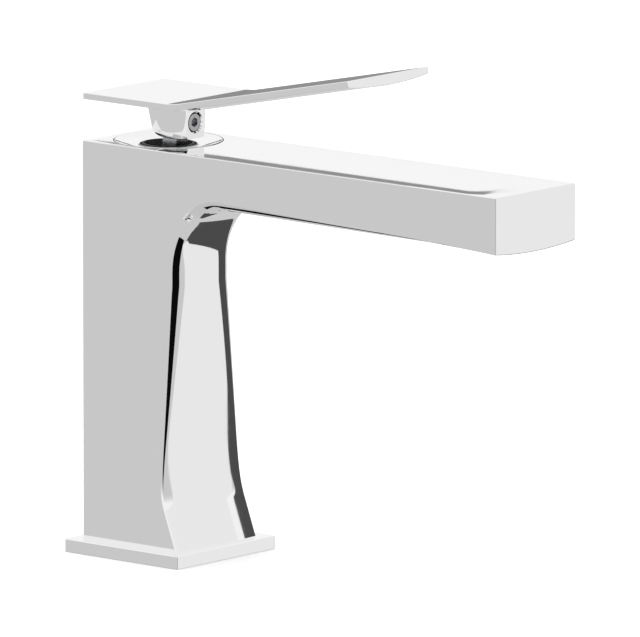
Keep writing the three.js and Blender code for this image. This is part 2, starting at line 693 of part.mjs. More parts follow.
// The rotating guide: a flange, and a slotted stem in which the spindle rocks on its pin.
function spindleGuide() {
  const flangeTop = GUIDE_Z + GUIDE_FLANGE_HEIGHT;
  const stem = turned([
    [0, GUIDE_Z], [GUIDE_FLANGE_RADIUS, GUIDE_Z], [GUIDE_FLANGE_RADIUS, flangeTop],
    [GUIDE_RADIUS, flangeTop], [GUIDE_RADIUS, GUIDE_TOP], [0, GUIDE_TOP],
  ], FINE);
  const half = SPINDLE_SIDE / 2 + FIT_CLEARANCE;
  const height = GUIDE_TOP + 1 - PIVOT_Z;
  const forward = height * Math.tan(degrees(REST_LEAN));
  const backward = height * Math.tan(degrees(FULL_LIFT - REST_LEAN));
  const slot = across([
    [-half - GUIDE_SLOT_MARGIN, GUIDE_Z - 1],
    [half + GUIDE_SLOT_MARGIN, GUIDE_Z - 1],
    [half + GUIDE_SLOT_MARGIN, PIVOT_Z],
    [half + FIT_CLEARANCE + backward, GUIDE_TOP + 1],
    [-half - FIT_CLEARANCE - forward, GUIDE_TOP + 1],
    [-half - GUIDE_SLOT_MARGIN, PIVOT_Z],
  ], 2 * half);
  return cut(stem, [slot, crossRod(PIN_RADIUS + FIT_CLEARANCE, 2 * GUIDE_RADIUS + 2)]);
}

// A rod across the width at the height of the pivot.
function crossRod(radius, length) {
  const geometry = new THREE.CylinderGeometry(radius, radius, length, 24);
  return solidOf(geometry.rotateZ(Math.PI / 2).translate(0, 0, PIVOT_Z));
}

function spindlePin() {
  return crossRod(PIN_RADIUS, 2 * (GUIDE_RADIUS - PIN_INSET));
}

// The spindle in its own upright frame, with the pivot at the origin.
function spindle() {
  const half = SPINDLE_SIDE / 2;
  const sides = [-half, half];
  const ball = solidOf(new THREE.SphereGeometry(BALL_RADIUS, 24, 12).translate(0, 0, -BALL_ARM));
  const bar = block(sides, sides, [-SPINDLE_BELOW_PIVOT, SPINDLE_ABOVE_PIVOT]);
  const neck = rod(SPINDLE_NECK_RADIUS, -BALL_ARM, -SPINDLE_BELOW_PIVOT + 1);
  const boreRadius = PIN_RADIUS + FIT_CLEARANCE;
  const bore = new THREE.CylinderGeometry(boreRadius, boreRadius, 2 * SPINDLE_SIDE, 24);
  return joined([bar, neck, ball]).subtract(solidOf(bore.rotateZ(Math.PI / 2)));
}

function retainingNut() {
  const inner = NECK_RADIUS + FIT_CLEARANCE;
  const top = HOUSING_TOP + RETAINING_NUT_HEIGHT;
  const slotHalf = NUT_SLOT_WIDTH / 2;
  const far = NUT_THREAD_RADIUS + 1;
  const slotZ = [top - NUT_SLOT_DEPTH, top + 1];
  return cut(ring(inner, NUT_THREAD_RADIUS, HOUSING_TOP, top, FINE), [
    block([-far, far], [-slotHalf, slotHalf], slotZ),
    block([-slotHalf, slotHalf], [-far, far], slotZ),
  ]);
}

function limitRing() {
  const outer = NECK_RADIUS - LIMIT_RING_INSET;
  const root = outer - LIMIT_RING_TOOTH;
  const shape = new THREE.Shape(Array.from({ length: 2 * LIMIT_RING_TEETH }, (_, corner) => {
    const angle = (Math.PI * corner) / LIMIT_RING_TEETH;
    const radius = corner % 2 ? root : outer;
    return new THREE.Vector2(radius * Math.cos(angle), radius * Math.sin(angle));
  }));
  const top = NECK_TOP + LIMIT_RING_HEIGHT;
  const bore = rod(outer - LIMIT_RING_WALL, NECK_TOP - 1, top + 1, 0, 0, FINE);
  return upright(shape, NECK_TOP, top).subtract(bore);
}

// A shallow dish with a flat floor and a coved rim, on a skirt that stands on the body.
function coverRing() {
  const top = BODY_HEIGHT;
  const floor = top - COVER_DISH;
  const rim = COVER_RADIUS - COVER_RIM;
  const cove = [4, 3, 2, 1, 0].map((step) => {
    const share = step / 4;
    return [lerp(COVER_FLOOR_RADIUS, rim, share), floor + COVER_DISH * share ** 2];
  });
  const under = floor - COVER_WALL;
  const skirtInner = COVER_SKIRT_RADIUS - COVER_SKIRT_WALL;
  return turned([
    [COVER_HOLE_RADIUS, under],
    [skirtInner, under],
    [skirtInner, COVER_SEAT],
    [COVER_SKIRT_RADIUS, COVER_SEAT],
    [COVER_SKIRT_RADIUS, under],
    [COVER_RADIUS, under],
    [COVER_RADIUS, top],
    ...cove,
    [COVER_HOLE_RADIUS, floor],
  ], FINE);
}

// The top line of the lever: level over the hub, a soft bend, then a straight rise to the tip.
function leverLine() {
  const pitch = degrees(LEVER_PITCH);
  const bend = new THREE.Vector2(-LEVER_BEND, LEVER_TOP);
  const rise = new THREE.Vector2(-Math.cos(pitch), Math.sin(pitch));
  const bendStart = bend.clone().add(new THREE.Vector2(BEND_LENGTH, 0));
  const bendEnd = bend.clone().addScaledVector(rise, BEND_LENGTH);
  const reach = (LEVER_REACH - LEVER_BEND) / Math.cos(pitch);
  const tip = bend.clone().addScaledVector(rise, reach);
  const curve = new THREE.QuadraticBezierCurve(bendStart, bend, bendEnd);
  const start = new THREE.Vector2(LEVER_BACK, LEVER_TOP);
  return [start, ...curve.getPoints(6), tip];
}

function leverPlate() {
  const line = leverLine();
  const pitch = degrees(LEVER_PITCH);
  return loft(line.map((top, index) => {
    const bent = THREE.MathUtils.clamp((index - 1) / (line.length - 3), 0, 1);
    const down = new THREE.Vector2(-Math.sin(pitch * bent), -Math.cos(pitch * bent));
    const under = top.clone().addScaledVector(down, LEVER_EDGE);
    return slice(top, under, LEVER_WIDTH / 2, LEVER_CROWN, SHARP_EDGE);
  }));
}

function circleAt(radius, y, z) {
  return Array.from({ length: FINE }, (_, corner) => {
    const angle = (2 * Math.PI * corner) / FINE;
    return new THREE.Vector3(radius * Math.cos(angle), y + radius * Math.sin(angle), z);
  });
}

function grubHole() {
  const radius = GRUB_RADIUS + THREAD_CLEARANCE;
  const geometry = new THREE.CylinderGeometry(radius, radius, HUB_FLAT_FRONT, COARSE);
  return solidOf(geometry.translate(0, -HUB_FLAT_FRONT, PIVOT_Z + GRUB_ABOVE_PIVOT));
}

// The lever plate with its hub, which has a square socket for the spindle. The hub's heel is
// rounded at the back, where it comes down as the lever lifts.
function leverHandle() {
  const footZ = BODY_HEIGHT + HUB_FOOT_LIFT;
  const heel = [0, 1, 2, 3, 4].map((step) => {
    const angle = (Math.PI / 2) * (step / 4);
    const inset = HUB_HEEL * (1 - Math.sin(angle));
    const height = footZ + HUB_HEEL * (1 - Math.cos(angle));
    return circleAt(HUB_FOOT_RADIUS - inset, -HUB_FOOT_FRONT - inset, height);
  });
  const hub = loft([
    ...heel,
    circleAt(HUB_HEAD_RADIUS, -HUB_HEAD_FRONT, LEVER_TOP - LEVER_EDGE),
  ]);
  const half = SPINDLE_SIDE / 2 + FIT_CLEARANCE;
  const top = SPINDLE_ABOVE_PIVOT + FIT_CLEARANCE;
  const socket = new THREE.BoxGeometry(2 * half, 2 * half, top).translate(0, 0, top / 2);
  socket.rotateX(degrees(REST_LEAN)).translate(0, 0, PIVOT_Z);
  const wide = [-LEVER_WIDTH / 2, LEVER_WIDTH / 2];
  const deep = [-HUB_FLAT_FRONT - LEVER_WIDTH, -HUB_FLAT_FRONT];
  const front = block(wide, deep, [footZ - 1, LEVER_TOP - LEVER_EDGE]);
  return cut(leverPlate().add(hub.subtract(front)), [solidOf(socket), grubHole()]);
}

function grubScrew() {
  const front = -HUB_FLAT_FRONT + GRUB_SINK;
  const lean = GRUB_ABOVE_PIVOT * Math.tan(degrees(REST_LEAN));
  const back = -lean - SPINDLE_SIDE / 2 - 2 * FIT_CLEARANCE;
  const length = back - front;
  const screw = new THREE.CylinderGeometry(GRUB_RADIUS, GRUB_RADIUS, length, COARSE);
  const corner = GRUB_HEX / Math.sqrt(3);
  const key = new THREE.CylinderGeometry(corner, corner, 2 * GRUB_HEX_DEPTH, 6);
  const height = PIVOT_Z + GRUB_ABOVE_PIVOT;
  screw.translate(0, (front + back) / 2, height);
  key.translate(0, front, height);
  return solidOf(screw).subtract(solidOf(key));
}

function aeratorHousing() {
  const inner = AERATOR_RADIUS - AERATOR_WALL;
  const ledge = inner - AERATOR_LEDGE;
  const low = AERATOR_Z;
  const ledgeTop = low + AERATOR_LEDGE_HEIGHT;
  return turned([
    [ledge, low], [AERATOR_RADIUS, low], [AERATOR_RADIUS, low + AERATOR_HEIGHT],
    [inner, low + AERATOR_HEIGHT], [inner, ledgeTop], [ledge, ledgeTop],
  ], FINE, 0, AERATOR_Y);
}

// The stream former: a disc pierced by hexagonal cells.
function aeratorInsert() {
  const low = AERATOR_Z + AERATOR_LEDGE_HEIGHT;
  const high = low + AERATOR_INSERT;
  const radius = AERATOR_RADIUS - AERATOR_WALL - FIT_CLEARANCE;
  const pitch = AERATOR_CELL + AERATOR_CELL_WALL;
  const cellRadius = AERATOR_CELL / 2;
  const rows = Math.floor((radius - AERATOR_CELL) / pitch);
  const cells = [];
  for (let row = -rows; row <= rows; row += 1) {
    for (let column = -rows; column <= rows; column += 1) {
      const x = (column + (row % 2) / 2) * pitch;
      const y = row * pitch * Math.sin(Math.PI / 3);
      if (Math.hypot(x, y) < radius - AERATOR_CELL) {
        const cell = new THREE.CylinderGeometry(cellRadius, cellRadius, high - low + 2, 6);
        cells.push(solidOf(cell.rotateX(Math.PI / 2).translate(x, y + AERATOR_Y, (low + high) / 2)));
      }
    }
  }
  return cut(rod(radius, low, high, 0, AERATOR_Y, FINE), cells);
}

function aeratorScreen() {
  const low = AERATOR_Z + AERATOR_LEDGE_HEIGHT + AERATOR_INSERT;
  const radius = AERATOR_RADIUS - AERATOR_WALL - FIT_CLEARANCE;
  const slots = [-2, -1, 0, 1, 2].map((row) => {
    const x = row * SCREEN_PITCH;
    const reach = Math.sqrt((radius - SCREEN_RIM) ** 2 - x ** 2);
    const y = [AERATOR_Y - reach, AERATOR_Y + reach];
    const wide = [x - SCREEN_SLOT / 2, x + SCREEN_SLOT / 2];
    return block(wide, y, [low - 1, low + AERATOR_SCREEN + 1]);
  });
  return cut(rod(radius, low, low + AERATOR_SCREEN, 0, AERATOR_Y, FINE), slots);
}

function aeratorWasher() {
  const low = AERATOR_Z + AERATOR_HEIGHT;
  const inner = AERATOR_RADIUS - AERATOR_WALL - AERATOR_SEAT;
  return ring(inner, AERATOR_RADIUS, low, low + AERATOR_WASHER, FINE, 0, AERATOR_Y);
}

const faucet = new THREE.Group();

function place(name, shape, finish) {
  const geometry = shape.isBufferGeometry ? shape : geometryOf(shape);
  const mesh = new THREE.Mesh(geometry, new THREE.MeshStandardMaterial(FINISHES[finish]));
  mesh.name = name;
  faucet.add(mesh);
  return mesh;
}

place('body_casting', bodyCasting(), 'chrome');
place('base_plate', basePlate(), 'chrome');
place('base_seal', baseSeal(), 'rubber');

const steelTop = -DECK_THICKNESS - RUBBER_THICKNESS;
const nutTop = steelTop - STEEL_THICKNESS;
place('mounting_stud', mountingStud(), 'brass');
place('deck_washer_rubber', horseshoe(steelTop, -DECK_THICKNESS), 'rubber');
place('deck_washer_metal', horseshoe(nutTop, steelTop), 'steel');
place('stud_nut', studNut(nutTop), 'brass');

place('cartridge_base', cartridgeBase(), 'whitePlastic');
place('cartridge_housing', cartridgeHousing(), 'whitePlastic');
place('housing_oring', housingRing(), 'rubber');
const [hot, cold] = portPlaces();
const discSealZ = DISC_Z - PORT_SEAL_HEIGHT;
place('inlet_seal_hot', portSeal(...hot, CHAMBER_Z), 'rubber');
place('inlet_seal_cold', portSeal(...cold, CHAMBER_Z), 'rubber');
place('disc_seal_hot', portSeal(...hot, discSealZ), 'rubber');
place('disc_seal_cold', portSeal(...cold, discSealZ), 'rubber');
place('disc_seal_outlet', portSeal(0, OUTLET_PORT_BACK, discSealZ), 'rubber');
place('fixed_disc', fixedDisc(), 'ceramic');
place('moving_disc', movingDisc(), 'ceramic');
place('disc_carrier', discCarrier(), 'greyPlastic');
place('spindle_guide', spindleGuide(), 'whitePlastic');
place('spindle_pin', spindlePin(), 'steel');
place('retaining_nut', retainingNut(), 'brass');
place('temperature_limit_ring', limitRing(), 'greyPlastic');
place('cover_ring', coverRing(), 'chrome');

place('lever_handle', leverHandle(), 'chrome');
place('grub_screw', grubScrew(), 'steel');
const spindleMesh = place('spindle', spindle(), 'steel');
spindleMesh.position.z = PIVOT_Z;
spindleMesh.rotation.x = degrees(REST_LEAN);

place('aerator_housing', aeratorHousing(), 'chrome');
place('aerator_insert', aeratorInsert(), 'whitePlastic');
place('aerator_screen', aeratorScreen(), 'steel');
place('aerator_washer', aeratorWasher(), 'rubber');

export default faucet;
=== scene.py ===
"""Visual model of a single-lever basin mixer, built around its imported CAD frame.

Metres, +Z up. The column's axis is X = Y = 0, the deck is Z = 0 and the spout points to -Y.
"""

import json
import math

import bmesh
import bpy
from bpy.props import FloatProperty, IntProperty, PointerProperty, StringProperty
from mathutils import Matrix, Vector


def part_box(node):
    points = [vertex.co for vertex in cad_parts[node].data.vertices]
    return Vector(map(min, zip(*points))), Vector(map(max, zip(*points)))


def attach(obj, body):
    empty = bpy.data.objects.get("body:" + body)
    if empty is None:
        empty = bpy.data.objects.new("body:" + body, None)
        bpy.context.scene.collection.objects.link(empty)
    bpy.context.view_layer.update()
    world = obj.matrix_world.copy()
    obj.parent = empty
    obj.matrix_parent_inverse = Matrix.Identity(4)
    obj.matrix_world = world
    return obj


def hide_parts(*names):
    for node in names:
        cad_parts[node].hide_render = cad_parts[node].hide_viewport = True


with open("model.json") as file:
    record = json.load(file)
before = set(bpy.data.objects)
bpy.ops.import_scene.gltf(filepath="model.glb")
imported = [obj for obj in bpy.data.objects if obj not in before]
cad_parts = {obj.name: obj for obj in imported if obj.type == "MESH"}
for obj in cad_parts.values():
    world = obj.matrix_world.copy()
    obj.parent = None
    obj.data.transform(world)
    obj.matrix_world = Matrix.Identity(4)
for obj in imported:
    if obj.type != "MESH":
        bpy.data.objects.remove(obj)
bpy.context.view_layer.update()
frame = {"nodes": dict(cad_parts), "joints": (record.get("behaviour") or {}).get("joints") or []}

bl_info = {
    "name": "Basin Mixer",
    "version": (1, 0, 0),
    "blender": (4, 5, 0),
    "location": "View3D > Sidebar > Basin Mixer",
    "description": "Builds the finished pieces of a single-lever basin mixer round its CAD frame",
    "category": "Add Mesh",
}

MM = 0.001
BODY_LOW, BODY_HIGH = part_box("body_casting")
PLATE_LOW, PLATE_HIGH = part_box("base_plate")
COVER_LOW, COVER_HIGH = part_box("cover_ring")
LEVER_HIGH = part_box("lever_handle")[1]
AERATOR_LOW, AERATOR_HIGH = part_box("aerator_housing")
SCREW_LOW, SCREW_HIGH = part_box("grub_screw")
STUD_LOW, STUD_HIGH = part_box("mounting_stud")
SPINDLE_PIVOT = Vector(frame["joints"][1]["pos_m"])

# Clearance round a fitted piece, and how far a cutter stands out past the face it cuts
CLEARANCE = 0.3 * MM
OVERCUT = 1.0 * MM

# Column flare: how far its curve leads on from the foot's slope, and pulls down from the upright
FLARE_LEAD = 0.36
KNEE_PULL = 0.45
# Curve of the dished top: the higher, the flatter its middle
DISH_POWER = 3
# Least radii where a slice narrows, as shares of the full radius
LEAST_ROLL = 0.5
LEAST_EDGE = 0.2
LEAST_SOFTNESS = 0.3

# Spaces inside the column
SPIGOT_RADIUS = 17 * MM
CHAMBER_RADIUS = 13 * MM
AERATOR_MOUTH = 3 * MM
HOSE_FRONT = -4.5 * MM
HOSE_HALF = 16.4 * MM
HOSE_ROUND = 5 * MM
HOSE_FLOOR = 11 * MM
HOSE_TO_CHAMBER = 14 * MM
THROAT_RADIUS = 14.5 * MM
THROAT_TOP = 12 * MM
INLET_RADIUS = 4.6 * MM
INLET_DEPTH = 8 * MM
INLET_PLACE = (7.5 * MM, 1.5 * MM)
PORT_RADIUS = 2.2 * MM
PORT_TOP = 15 * MM
PORT_PLACE = (5.2 * MM, -2.2 * MM)
STUD_HOLE_RADIUS = 4.3 * MM
STUD_HOLE_TOP = 17 * MM

# Half the width of a cutter that has to reach past the piece it cuts
WIDE = 20 * MM

# Base plate, cover ring and limit ring
PLATE_HOLE_RADIUS = 17.3 * MM
SEAL_GROOVE_RADIUS = 19.3 * MM
COVER_HOLE_RADIUS = 9.9 * MM
COVER_HOLE_BEVEL = 0.4 * MM
COVER_WALL = 1.0 * MM
COVER_RIM = 0.3 * MM
SKIRT_INNER = 15.4 * MM
SKIRT_OUTER = 16.8 * MM
LIMIT_RING_WALL = 1.0 * MM

# Hub
SOCKET_HALF = 3.3 * MM
SOCKET_DEPTH = 27.8 * MM
SPINDLE_LEAN = 10
SCREW_HOLE_RADIUS = 3.3 * MM
SCREW_MOUTH_RADIUS = 4.0 * MM
SCREW_MOUTH_BOTTOM = 3.2 * MM
SCREW_MOUTH_OUT = 0.2 * MM
SCREW_MOUTH_IN = 0.6 * MM


def length(name, value_mm, text):
    """A length property whose default is given in millimetres."""
    return FloatProperty(
        name=name, description=text, default=value_mm * MM, unit="LENGTH", subtype="DISTANCE"
    )


class BodyShape(bpy.types.PropertyGroup):
    """Outline of the column and spout."""

    crown: length("Crown", 1.2, "How far the inner side bulges in the middle")
    edge: length("Edge", 0.4, "Radius of the broken outer edges")
    foot_depth: length("Foot depth", 21.4, "Column axis to the front edge at the plate")
    knee_depth: length("Knee depth", 16.2, "Column axis to the front edge at the knee")
    knee_rise: length("Knee rise", 14, "Height of the knee above the plate")
    knee_length: length("Knee length", 26.5, "Height over which the flare turns upright")
    upright_depth: length("Upright depth", 14.3, "Column axis to the front edge above the knee")
    fillet: length("Inner corner", 23, "Radius of the corner between column and spout")
    spout_thickness: length("Spout thickness", 18.5, "Thickness of the spout at its root")
    tip_thickness: length("Tip thickness", 19.7, "Thickness of the spout at its tip")
    tip_dip: length("Tip dip", 34, "Length over which the underside falls to the tip")
    roll_start: length("Roll start", 20, "Height where the front edges begin to round")
    roll_full: length("Roll full", 94.6, "Height where the front edges are fully round")
    roll_column: length("Column roll", 13, "Largest radius of the column's front edges")
    roll_spout: length("Spout roll", 9.5, "Radius of the spout's lower edges at the root")
    roll_end: length("Roll end", 14, "Distance from the tip where the lower edges are crisp")
    top_dish: length("Top dish", 0.3, "How far the rims of the top stand above its middle")


class LeverShape(bpy.types.PropertyGroup):
    """Outline of the lever and its hub."""

    edge_height: length("Edge", 2.24, "Thickness of the lever at its edges")
    crown: length("Crown", 1.5, "Extra thickness in the middle")
    softness: length("Softness", 0.22, "Radius of the broken edges")
    bend_at: length("Bend", 20.05, "Distance in front of the axis where the lever bends")
    bend_length: length("Bend length", 3, "Half the length of the bend")
    lift: length("Plate height", 16.6, "Top of the lever plate above the body")
    pitch: FloatProperty(
        name="Pitch",
        description="Rise of the arm",
        default=math.radians(11.7),
        unit="ROTATION",
        subtype="ANGLE",
    )
    reach: length("Reach", 98.96, "Column axis to the top edge of the lever's tip")
    foot_radius: length("Hub foot radius", 9.07, "Radius of the hub's lower end")
    foot_front: length("Hub foot offset", 4.55, "Hub's lower centre in front of the axis")
    heel: length("Hub heel", 3, "Radius of the hub's rounded lower edge at the back")
    foot_lift: length("Hub foot height", 1.6, "Gap between the hub and the body's top")
    head_radius: length("Hub head radius", 10.07, "Radius of the hub under the plate")
    head_front: length("Hub head offset", 3.24, "Hub's upper centre in front of the axis")
    flat_front: length("Hub flat", 12.3, "Column axis to the flat with the screw hole")


class TrimShape(bpy.types.PropertyGroup):
    """Small fittings."""

    plate_edge: length("Plate edge", 0.45, "Radius of the base plate's upper edges")
    cover_dish: length("Cover dish", 1.2, "Depth of the dish in the cover ring")
    cover_floor: length("Cover floor", 13, "Radius of the flat floor of the dish")
    tooth_depth: length("Tooth depth", 0.45, "Depth of the limit ring's teeth")
    tooth_bevel: length("Tooth bevel", 0.2, "Bevel at the upper end of the teeth")
    limit_teeth: IntProperty(name="Teeth", description="Teeth round the limit ring", default=56)


class Finishes(bpy.types.PropertyGroup):
    """Colours as sRGB hex values."""

    chrome: StringProperty(name="Chrome", description="Bright chrome", default="#F4F4F4")
    stainless: StringProperty(name="Stainless", description="Stainless steel", default="#B9BABC")
    brass: StringProperty(name="Brass", description="Machined brass", default="#C9A864")
    acetal: StringProperty(name="Acetal", description="White acetal", default="#E8E8E4")
    nylon: StringProperty(name="Nylon", description="Dark nylon", default="#3A3C3F")
    rubber: StringProperty(name="Rubber", description="Black rubber", default="#18181A")
    alumina: StringProperty(name="Alumina", description="Alumina ceramic", default="#F2F0EA")
    floor: StringProperty(name="Floor", description="Pale floor", default="#F7F7F7")
    wall: StringProperty(name="Tent wall", description="Light tent's wall", default="#C6C6C6")
    roof: StringProperty(name="Tent roof", description="Light tent's roof", default="#F0F0F0")


class StageSettings(bpy.types.PropertyGroup):
    """Camera and light."""

    camera_x: FloatProperty(name="Camera X", description="Camera place", default=-4.0512)
    camera_y: FloatProperty(name="Camera Y", description="Camera place", default=-3.5524)
    camera_z: FloatProperty(name="Camera Z", description="Camera place", default=1.0218)
    aim_x: FloatProperty(name="Aim X", description="Point that the camera faces", default=0.00463)
    aim_y: FloatProperty(name="Aim Y", description="Point that the camera faces", default=-0.06464)
    aim_z: FloatProperty(name="Aim Z", description="Point that the camera faces", default=0.08773)
    lens: FloatProperty(name="Lens", description="Focal length in millimetres", default=894.35)
    tent_radius: FloatProperty(name="Tent", description="Radius of the light tent", default=8.0)


def linear(hex_colour):
    """Linear RGBA from an sRGB hex value."""
    digits = hex_colour.lstrip("#")
    parts = [int(digits[at:at + 2], 16) / 255 for at in (0, 2, 4)]
    curve = [p / 12.92 if p <= 0.04045 else ((p + 0.055) / 1.055) ** 2.4 for p in parts]
    return (*curve, 1.0)


def add_node(tree, kind, settings=None, values=None, links=None):
    """Adds a node, sets its properties and socket values, and links its inputs."""
    node = tree.nodes.new(kind)
    for key, value in (settings or {}).items():
        setattr(node, key, value)
    for key, value in (values or {}).items():
        node.inputs[key].default_value = value
    for key, source in (links or {}).items():
        tree.links.new(source, node.inputs[key])
    return node


def new_material(name, shader_values):
    """A material with one Principled shader, and its tree and shader."""
    material = bpy.data.materials.new(name)
    material.use_nodes = True
    tree = material.node_tree
    shader = tree.nodes["Principled BSDF"]
    for key, value in shader_values.items():
        shader.inputs[key].default_value = value
    return material, tree, shader


def surface_noise(tree, scale, detail=3.0):
    """Noise in object space with a scale in cycles per metre."""
    place = add_node(tree, "ShaderNodeTexCoord")
    return add_node(
        tree,
        "ShaderNodeTexNoise",
        values={"Scale": scale, "Detail": detail},
        links={"Vector": place.outputs["Object"]},
    )


def vary_roughness(tree, shader, noise, low, high):
    """Lets the roughness run from low to high with the noise."""
    spread = add_node(
        tree,
        "ShaderNodeMapRange",
        values={"From Min": 0.3, "From Max": 0.7, "To Min": low, "To Max": high},
        links={"Value": noise.outputs["Fac"]},
    )
    tree.links.new(spread.outputs["Result"], shader.inputs["Roughness"])


def add_bump(tree, shader, height, distance):
    """Raises and sinks the surface by up to a distance where the height varies."""
    bump = add_node(
        tree, "ShaderNodeBump", values={"Distance": distance}, links={"Height": height}
    )
    tree.links.new(bump.outputs["Normal"], shader.inputs["Normal"])


def bright_chrome(colours):
    """Bright chrome plating on buffed brass: a near-perfect mirror.

    The eye sees crisp reflections with a slight haze where the buffing wheel passed. The haze
    patches are about 12 mm long.
    """
    values = {"Base Color": linear(colours.chrome), "Metallic": 1.0, "Roughness": 0.03}
    material, tree, shader = new_material("bright_chrome_plating", values)
    patches = surface_noise(tree, 1 / (12 * MM), 2.0)
    vary_roughness(tree, shader, patches, 0.02, 0.05)
    return material


def turned_stainless(colours):
    """Turned stainless steel: fine rings about 0.2 mm apart blur the reflections sideways."""
    values = {"Base Color": linear(colours.stainless), "Metallic": 1.0, "Roughness": 0.28}
    material, tree, shader = new_material("turned_stainless_steel", values)
    fine = surface_noise(tree, 1 / (0.2 * MM), 2.0)
    vary_roughness(tree, shader, fine, 0.2, 0.36)
    add_bump(tree, shader, fine.outputs["Fac"], 0.01 * MM)
    return material


def machined_brass(colours):
    """Machined unplated brass: warm metal with tool marks 0.3 mm apart and dull tarnish."""
    values = {"Base Color": linear(colours.brass), "Metallic": 1.0, "Roughness": 0.32}
    material, tree, shader = new_material("machined_brass", values)
    tarnish = surface_noise(tree, 1 / (6 * MM), 5.0)
    vary_roughness(tree, shader, tarnish, 0.24, 0.45)
    marks = surface_noise(tree, 1 / (0.3 * MM), 2.0)
    add_bump(tree, shader, marks.outputs["Fac"], 0.01 * MM)
    return material


def moulded_plastic(name, colour, roughness):
    """Moulded acetal or nylon: a faint spark-eroded grain 0.4 mm across under a soft sheen."""
    values = {"Base Color": linear(colour), "Roughness": roughness, "IOR": 1.48}
    material, tree, shader = new_material(name, values)
    grain = surface_noise(tree, 1 / (0.4 * MM), 3.0)
    vary_roughness(tree, shader, grain, roughness - 0.08, roughness + 0.08)
    add_bump(tree, shader, grain.outputs["Fac"], 0.02 * MM)
    return material


def moulded_rubber(colours):
    """Moulded black rubber: matt, with a bloom in soft patches 3 mm across."""
    values = {"Base Color": linear(colours.rubber), "Roughness": 0.8, "IOR": 1.52}
    material, tree, shader = new_material("moulded_black_rubber", values)
    bloom = surface_noise(tree, 1 / (3 * MM), 4.0)
    vary_roughness(tree, shader, bloom, 0.65, 0.95)
    add_bump(tree, shader, bloom.outputs["Fac"], 0.03 * MM)
    return material


def lapped_alumina(colours):
    """Lapped alumina: dense white ceramic, glossy where it is lapped, with fine speckle."""
    values = {"Base Color": linear(colours.alumina), "Roughness": 0.2, "IOR": 1.76}
    material, tree, shader = new_material("lapped_alumina", values)
    speckle = surface_noise(tree, 1 / (0.5 * MM), 4.0)
    vary_roughness(tree, shader, speckle, 0.12, 0.3)
    return material


MAKERS = {
    "chrome": bright_chrome,
    "stainless": turned_stainless,
    "brass": machined_brass,
    "rubber": moulded_rubber,
    "alumina": lapped_alumina,
    "acetal": lambda colours: moulded_plastic("moulded_white_acetal", colours.acetal, 0.42),
    "nylon": lambda colours: moulded_plastic("moulded_dark_nylon", colours.nylon, 0.5),
}
made_materials = {}


def finish_of(kind):
    """The one material of that kind, made when it is first asked for."""
    if kind not in made_materials:
        made_materials[kind] = MAKERS[kind](bpy.context.scene.mixer_finishes)
    return made_materials[kind]


def mesh_object(name, points, faces):
    """A new object in the scene from points and faces."""
    mesh = bpy.data.meshes.new(name)
    mesh.from_pydata([tuple(point) for point in points], [], faces)
    mesh.validate()
    made = bpy.data.objects.new(name, mesh)
    bpy.context.scene.collection.objects.link(made)
    return made


def loft(name, rings):
    """Skin through rings of equally many points, with a flat face at each end."""
    count = len(rings[0])
    points = [point for ring in rings for point in ring]
    faces = []
    for ring in range(len(rings) - 1):
        for side in range(count):
            near = ring * count + side
            following = ring * count + (side + 1) % count
            faces.append((near, following, following + count, near + count))
    last = (len(rings) - 1) * count
    faces.append(tuple(reversed(range(count))))
    faces.append(tuple(range(last, last + count)))
    return mesh_object(name, points, faces)


def turned(name, profile, segments=96):
    """A ring turned about the column's axis from a closed outline of (radius, height) pairs."""
    rings = []
    for step in range(segments):
        angle = 2 * math.pi * step / segments
        cosine, sine = math.cos(angle), math.sin(angle)
        rings.append([
            Vector((radius * cosine, radius * sine, height)) for radius, height in profile
        ])
    count = len(profile)
    points = [point for ring in rings for point in ring]
    faces = []
    for ring in range(segments):
        after = (ring + 1) % segments
        for side in range(count):
            following = (side + 1) % count
            faces.append((
                ring * count + side,
                after * count + side,
                after * count + following,
                ring * count + following,
            ))
    return mesh_object(name, points, faces)


def arc(centre, radius, start, end, steps):
    """Points along an arc from start to end, in degrees, both ends included."""
    angles = [math.radians(start + (end - start) * step / steps) for step in range(steps + 1)]
    return [
        (centre[0] + radius * math.cos(a), centre[1] + radius * math.sin(a)) for a in angles
    ]


def circle(radius, x, y, z, count):
    """Points round an upright axis at X and Y."""
    turns = [2 * math.pi * step / count for step in range(count)]
    return [Vector((x + radius * math.cos(a), y + radius * math.sin(a), z)) for a in turns]


def rod(name, radius, low, high, centre=(0.0, 0.0), segments=96):
    """An upright round rod."""
    return loft(name, [circle(radius, *centre, z, segments) for z in (low, high)])


def prism(name, outline, low, high):
    """A prism that stands on an outline of (x, y) pairs."""
    return loft(name, [[Vector((x, y, z)) for x, y in outline] for z in (low, high)])


def outward(obj):
    """Turns all faces to point out."""
    work = bmesh.new()
    work.from_mesh(obj.data)
    bmesh.ops.recalc_face_normals(work, faces=work.faces)
    work.to_mesh(obj.data)
    work.free()
    return obj


def combine(base, others, operation):
    """Joins or cuts base with the others by exact booleans, and removes the others."""
    outward(base)
    for other in others:
        outward(other)
        modifier = base.modifiers.new("combine", "BOOLEAN")
        modifier.operation = operation
        modifier.solver = "EXACT"
        modifier.object = other
        apply_modifiers(base)
        bpy.data.objects.remove(other)
    return base


def apply_modifiers(obj):
    """Bakes the modifiers into the mesh."""
    bpy.context.view_layer.update()
    evaluated = obj.evaluated_get(bpy.context.evaluated_depsgraph_get())
    mesh = bpy.data.meshes.new_from_object(evaluated)
    obj.modifiers.clear()
    obj.data = mesh
    return obj


